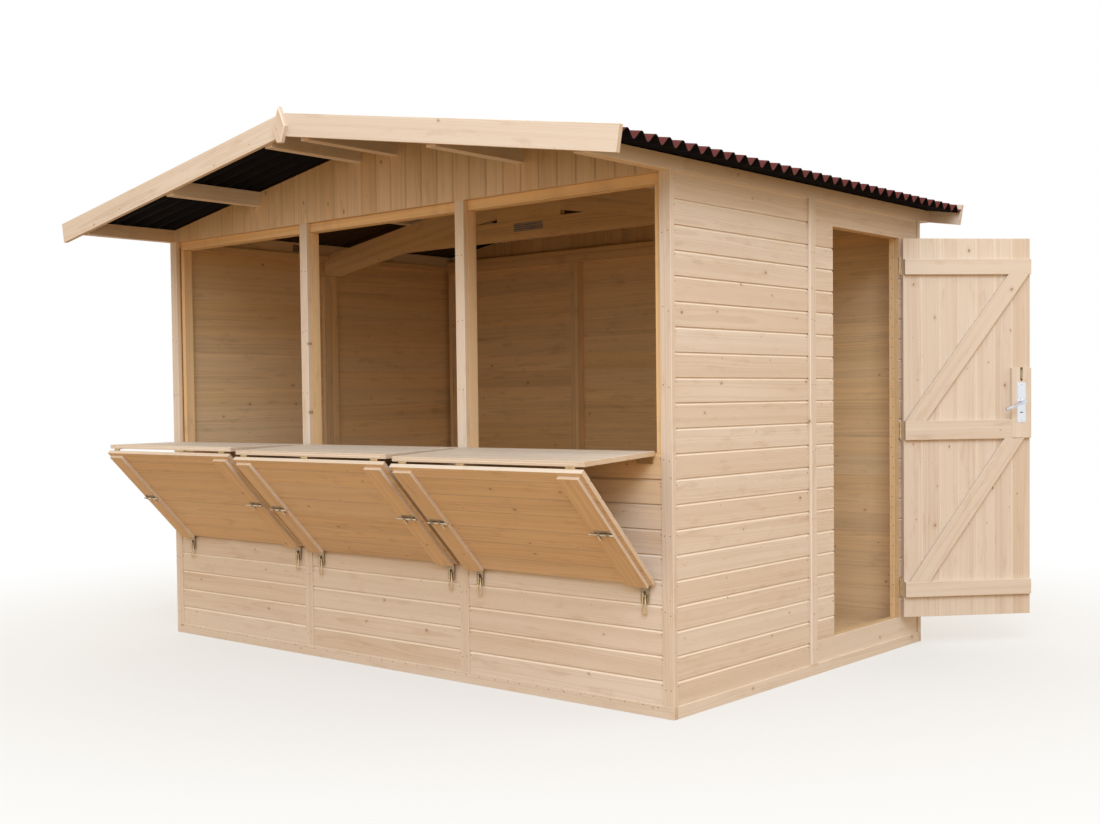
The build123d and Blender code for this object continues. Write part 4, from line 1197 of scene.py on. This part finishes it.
class STALL_OT_door_hinges(bpy.types.Operator):
    """The wall's and the leaf's halves of the door hinges"""
    bl_idname = "stall.door_hinges"
    bl_label = "Door hinges"

    # node: its body and its knuckles of the three
    HALVES = {"frame_hinges": ("stall", (0, 2)), "door_hinges": ("door", (1,))}
    RADIUS = 5 * MM
    REACH = 30 * MM
    SEAT = 6 * MM          # pin over the boards
    TIP = 3.2 * MM

    def execute(self, context):
        joint = joint_place("door_hinge")
        full = [span(half, Z) for half in solids("frame_hinges")]
        for node, (body, own) in self.HALVES.items():
            metal = Metalwork("yellow", "dark")
            for solid in solids(node):
                face, level = largest(solid.faces), sum(span(solid, Z))
                low, high = min(full, key=lambda reach: abs(sum(reach) - level))
                pin = Vector((joint.x, joint.y, (low + high) / 2))
                metal.leaf(pin, leaf_way(solid, face, Z, pin), face, own, high - low, self.REACH,
                           self.RADIUS, self.SEAT, 3)
                if body == "stall":
                    for end in ((low - high) / 2, (high - low) / 2):
                        metal.rod(self.TIP, end - MM, end + MM, Matrix.Translation(pin),
                                  "yellow", 16, MM)
            metal.make(f"{node}_leaves", body, [node])
        return {"FINISHED"}


class STALL_OT_lock(bpy.types.Operator):
    """Lock plates with their keyholes, and the small striker plate over the inner one"""
    bl_idname = "stall.lock"
    bl_label = "Lock"

    SPINDLE = 6.2 * MM
    KEYHOLE = (15 * MM, 4 * MM)
    KEYHOLE_DROP = 45 * MM           # below the middle of the plate
    SCREW_INSET = 9 * MM
    STRIKER = (12 * MM, 62 * MM, 1.6 * MM)
    STRIKER_UP = 38 * MM             # middle of the striker over the plate

    def execute(self, context):
        metal = Metalwork("bright", "dull", "dark")
        spindle = joint_place("handle_turn").z
        leaf = middle(solids("door_boards")[0])
        inner = middle(solids("lock_block")[0]) - leaf
        for solid in solids("lock_plates"):
            centre = sum(corners(solid), Vector()) / 2
            out = largest(solid.faces)
            out = out if out.dot(centre - leaf) > 0 else -out
            along = Z.cross(out)
            ranges = [span(solid, axis) for axis in (along, Z, out)]
            width, height, thick = (high - low for low, high in ranges)
            place = frame_at(centre - out * thick / 2, along, Z)
            wide, tall = self.KEYHOLE
            holes = [circle(self.SPINDLE, 20, spindle - centre.z),
                     raised(rounded(wide, tall, tall * 0.4, 3), -self.KEYHOLE_DROP)]
            metal.plate([rounded(width, height, 6 * MM), *holes], thick, place, "bright", 0.5 * MM)
            # a dark plate behind the keyhole: painted shade inside it
            metal.plate([rounded(wide + 4 * MM, tall + 4 * MM, MM, 2)], 0.4 * MM,
                        place @ moved(0, -self.KEYHOLE_DROP, 0.05 * MM), "dark", 0.1 * MM)
            end = height / 2 - self.SCREW_INSET
            metal.screws(place, (0,), (-end, end), thick, "bright")
            if out.dot(inner) > 0:
                self.striker(metal, place @ moved(0, height / 2 + self.STRIKER_UP))
        metal.make("lock_plate_pair", "door", ["lock_plates"])
        return {"FINISHED"}

    def striker(self, metal, place):
        wide, tall, thick = self.STRIKER
        metal.plate([rounded(wide, tall, 2 * MM)], thick, place, "dull")
        # dark discs: painted shade of the striker's screw holes
        for y in (6 * MM - tall / 2, tall / 2 - 6 * MM):
            metal.rod(3.4 * MM, 0, MM, place @ moved(0, y, thick), "dark", 14)


class STALL_OT_lever(bpy.types.Operator):
    """Lever handles on one spindle"""
    bl_idname = "stall.lever"
    bl_label = "Lever handle"

    BAR = 5.9 * MM
    HUB = 8.4 * MM
    SPINDLE = 4.6 * MM
    GRIP = 7 * MM          # half the thickness of the CAD grips
    BEND = 14 * MM
    FACE = 1.5 * MM        # hub and bar from the middle of the lock plate
    SWELL = (1, 1, 1, 1, 1.02, 1.15)

    def execute(self, context):
        metal = Metalwork("satin")
        solid = solids("door_handle")[0]
        pivot = joint_place("handle_turn")
        block = solids("lock_block")[0]
        axis = largest([face for face in block.faces if abs(face.normal.z) < 0.1])
        away = [v.co - pivot - axis * (v.co - pivot).dot(axis) for v in solid.verts]
        reach = max(a.length for a in away)
        grip = sum([a for a in away if a.length > reach * 0.9], Vector()).normalized()
        centre = pivot - axis * pivot.dot(axis)
        plates = sorted(sum(span(s, axis)) / 2 for s in solids("lock_plates"))
        spindle = frame_at(centre, grip, axis.cross(grip))
        for end, plate, way in zip(span(solid, axis), plates, (-1, 1)):
            at, foot = end - way * self.GRIP, plate + way * self.FACE
            corner = centre + axis * at
            points = [centre + axis * foot, corner - axis * way * self.BEND, corner,
                      corner + grip * self.BEND, corner + grip * reach * 0.55,
                      corner + grip * reach * 0.97]
            metal.wire(points, self.BAR, Matrix(), "satin", sides=5, swell=self.SWELL)
            low, high = sorted((foot, at - way * 10 * MM))
            metal.rod(self.HUB, low, high, spindle, "satin", 24, 1.5 * MM)
        metal.rod(self.SPINDLE, *plates, spindle, "satin", 12)
        metal.make("door_lever", "handle", ["door_handle"])
        return {"FINISHED"}


class STALL_OT_board_nails(bpy.types.Operator):
    """Nail heads in the boards, the strips and the sills"""
    bl_idname = "stall.board_nails"
    bl_label = "Nails"

    SILL_STEP = 72 * MM
    STRIP_STEP = 0.27
    JAMB_STEP = 45 * MM
    END_WALL = 0.5         # strips further than this from the middle are on the front or rear
    UP_END, UP_SIDE = 72 * MM, 70 * MM         # over the foot of a board
    CORNER, POST = 12 * MM, 34 * MM            # from the board's end, from the middle strip

    def execute(self, context):
        wood = context.scene.stall_wood
        self.metal = Metalwork("steel")
        self.draw = random.Random(f"{wood.seed} nails")
        self.radius = context.scene.stall_hardware.nail
        low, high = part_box("sills")
        for y, face in ((low.y, -Y), (high.y, Y)):
            for x in steps(low.x + 50 * MM, self.SILL_STEP, high.x - 30 * MM):
                self.nail((x + self.jitter(8), y, high.z - 9 * MM + self.jitter(2)), face)
        rows = steps(high.z, wood.pitch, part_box("rear_boards")[1].z - wood.pitch / 2)
        self.end_walls(rows)
        self.side_walls(rows)
        self.strips()
        self.metal.make("nail_heads", "stall", [])
        return {"FINISHED"}

    def jitter(self, reach):
        return self.draw.uniform(-reach, reach) * MM

    def nail(self, place, face):
        along = Z.cross(face)
        self.metal.rod(self.radius, -0.5 * MM, 0.35 * MM, frame_at(place, along, face.cross(along)),
                       "steel", 8, 0.2 * MM)

    def end_walls(self, rows):
        """Beside each cover strip of the front and the rear."""
        front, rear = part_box("front_boards"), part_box("rear_boards")
        edges = sorted({round(x, 4) for strip in solids("cover_strips")
                        for x in span(strip, X) if abs(middle(strip).y) > self.END_WALL})
        for k, x in enumerate(edges[1:-1]):
            way = -1 if k % 2 else 1
            for z in rows:
                height = z + self.UP_END + self.jitter(4)
                spot = x + way * (6 * MM + self.jitter(1))
                if height < front[1].z:
                    self.nail((spot, front[0].y, height), -Y)
                self.nail((spot, rear[1].y, height), Y)

    def side_walls(self, rows):
        """Beside the middle strips, at the corners and at the doorway."""
        low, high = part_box("right_door_side_boards")
        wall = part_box("right_front_boards")
        front = wall[0].y + self.CORNER
        first, second = (span(solid, Y) for solid in solids("right_door_side_boards"))
        jambs = (first[1] - 20 * MM, second[0] + 35 * MM)
        for z in rows:
            at_door = jambs if low.z < z + 40 * MM < high.z else ()
            for face, places in ((X, (front, -self.POST, self.POST, *at_door)),
                                 (-X, (front, -self.POST, self.POST, -front))):
                for y in places:
                    spot = (face.x * wall[1].x, y + self.jitter(2),
                            z + self.UP_SIDE + self.jitter(4))
                    self.nail(spot, face)
        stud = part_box("side_studs")[1].x - 14 * MM
        for z in steps(low.z + 50 * MM, self.JAMB_STEP, high.z - 50 * MM):
            self.nail((stud + self.jitter(6), second[0], z + self.jitter(6)), -Y)

    def strips(self):
        """Up the cover strips, in pairs."""
        for strip in solids("cover_strips"):
            low, high = corners(strip)
            centre = (low + high) / 2
            along, out = (X, Y) if abs(centre.y) > self.END_WALL else (Y, X)
            out = out * math.copysign(1, centre.dot(out))
            foot = centre + out * (span(strip, out)[1] - centre.dot(out))
            for z in steps(low.z + 60 * MM, self.STRIP_STEP, high.z - 40 * MM):
                for way in (-12 * MM, 12 * MM):
                    place = foot + along * way
                    place.z = z + self.jitter(8)
                    self.nail(place, out)


# ---- Stage -----------------------------------------------------------------------------------
class STALL_OT_stage(bpy.types.Operator):
    """Floor, light and camera"""
    bl_idname = "stall.stage"
    bl_label = "Stage"

    FLOOR = 40.0
    FADE = (1.6, 4.6)      # the floor turns into the white surroundings between these
    NEAR = 0.5             # share of plain white in the floor near the stall
    LAMP = Vector((5.3, -5.8, 6.0))
    LAMP_SIZE = 4.0
    AIM = Vector((0, 0, 0.9))
    WHITE = (1, 1, 1)

    def execute(self, context):
        scene, stage = context.scene, context.scene.stall_stage
        self.world(scene, stage)
        self.floor(scene, stage)
        self.lamp(scene, stage)
        self.camera(scene, stage)
        scene.view_settings.view_transform = "Standard"
        return {"FINISHED"}

    def added(self, scene, name, data):
        thing = bpy.data.objects.new(name, data)
        scene.collection.objects.link(thing)
        return thing

    def world(self, scene, stage):
        """White to the camera, a soft warm light to the stall."""
        scene.world = bpy.data.worlds.new("studio")
        scene.world.use_nodes = True
        shader = Shader(scene.world.node_tree)
        seen = shader.seen()
        background = shader.tree.nodes["Background"]
        shader.put(background.inputs["Color"], shader.mix(seen, stage.tint, self.WHITE))
        shader.put(background.inputs["Strength"], stage.sky * (1 - seen) + seen)

    def floor(self, scene, stage):
        """A disc that fades into the white, and throws warm light back at the stall."""
        data = bpy.data.meshes.new("studio_floor")
        rim = circle(self.FLOOR, 48)
        data.from_pydata([(x, y, 0) for x, y in rim], [], [list(range(len(rim)))])
        shader = Surface("studio_floor", {"Roughness": 0.9, "Specular IOR Level": 0.0})
        x, y, _ = shader.split(shader.place())
        away = ((x * x + y * y) ** 0.5).smooth(*self.FADE)
        seen = shader.seen()
        shader.finish(Base_Color=shader.mix(seen, stage.bounce, stage.floor))
        light = shader.out("Emission", {}, {"Color": self.WHITE, "Strength": 1.0})
        share = seen * (self.NEAR + (1 - self.NEAR) * away)
        blend = shader.out("MixShader", {}, {0: share, 1: shader.principled.outputs[0], 2: light})
        shader.put(shader.tree.nodes["Material Output"].inputs["Surface"], blend)
        data.materials.append(shader.material)
        self.added(scene, "studio_floor", data)

    def lamp(self, scene, stage):
        data = bpy.data.lights.new("key", "AREA")
        data.energy, data.color, data.size = stage.key, stage.cool, self.LAMP_SIZE
        lamp = self.added(scene, "key", data)
        lamp.location = self.LAMP
        lamp.rotation_euler = (self.AIM - self.LAMP).to_track_quat("-Z", "Y").to_euler()

    def camera(self, scene, stage):
        data = bpy.data.cameras.new("camera")
        data.sensor_width, data.lens = 36.0, stage.lens
        data.shift_x, data.shift_y = stage.shift
        level = math.cos(stage.pitch)
        ahead = Vector((math.sin(stage.heading) * level, math.cos(stage.heading) * level,
                        math.sin(stage.pitch)))
        right = Vector((math.cos(stage.heading), -math.sin(stage.heading), 0))
        up = right.cross(ahead)
        cos, sin = math.cos(stage.roll), math.sin(stage.roll)
        scene.camera = self.added(scene, "camera", data)
        scene.camera.matrix_world = frame_at(stage.camera, right * cos + up * sin,
                                             up * cos - right * sin)


# ---- Panel, registration and the run ---------------------------------------------------------
GROUPS = (("stall_wood", StallWood), ("stall_roofing", StallRoofing),
          ("stall_hardware", StallHardware), ("stall_stage", StallStage))
OPERATORS = (STALL_OT_wall_boards, STALL_OT_frame_timbers, STALL_OT_roof_timbers,
             STALL_OT_shutter_boards, STALL_OT_door_boards, STALL_OT_roofing,
             STALL_OT_shutter_hinges, STALL_OT_barrel_bolts, STALL_OT_hasps,
             STALL_OT_snap_hooks, STALL_OT_nail_plates, STALL_OT_door_hinges, STALL_OT_lock,
             STALL_OT_lever, STALL_OT_board_nails, STALL_OT_stage)


class STALL_PT_panel(bpy.types.Panel):
    """Sidebar list of the stall's pieces and settings"""
    bl_idname = "STALL_PT_panel"
    bl_label = "Market stall"
    bl_space_type = "VIEW_3D"
    bl_region_type = "UI"
    bl_category = "Stall"

    def draw(self, context):
        for name, group in GROUPS:
            box = self.layout.box()
            for prop in group.__annotations__:
                box.prop(getattr(context.scene, name), prop)
        for operator in OPERATORS:
            self.layout.operator(operator.bl_idname)


def register():
    for name, group in GROUPS:
        bpy.utils.register_class(group)
        setattr(bpy.types.Scene, name, bpy.props.PointerProperty(type=group))
    for kind in (*OPERATORS, STALL_PT_panel):
        bpy.utils.register_class(kind)


def unregister():
    for kind in (STALL_PT_panel, *reversed(OPERATORS)):
        bpy.utils.unregister_class(kind)
    for name, group in reversed(GROUPS):
        delattr(bpy.types.Scene, name)
        bpy.utils.unregister_class(group)


def main():
    register()
    for operator in OPERATORS:
        family, name = operator.bl_idname.split(".")
        getattr(getattr(bpy.ops, family), name)()


if __name__ == "__main__":
    main()
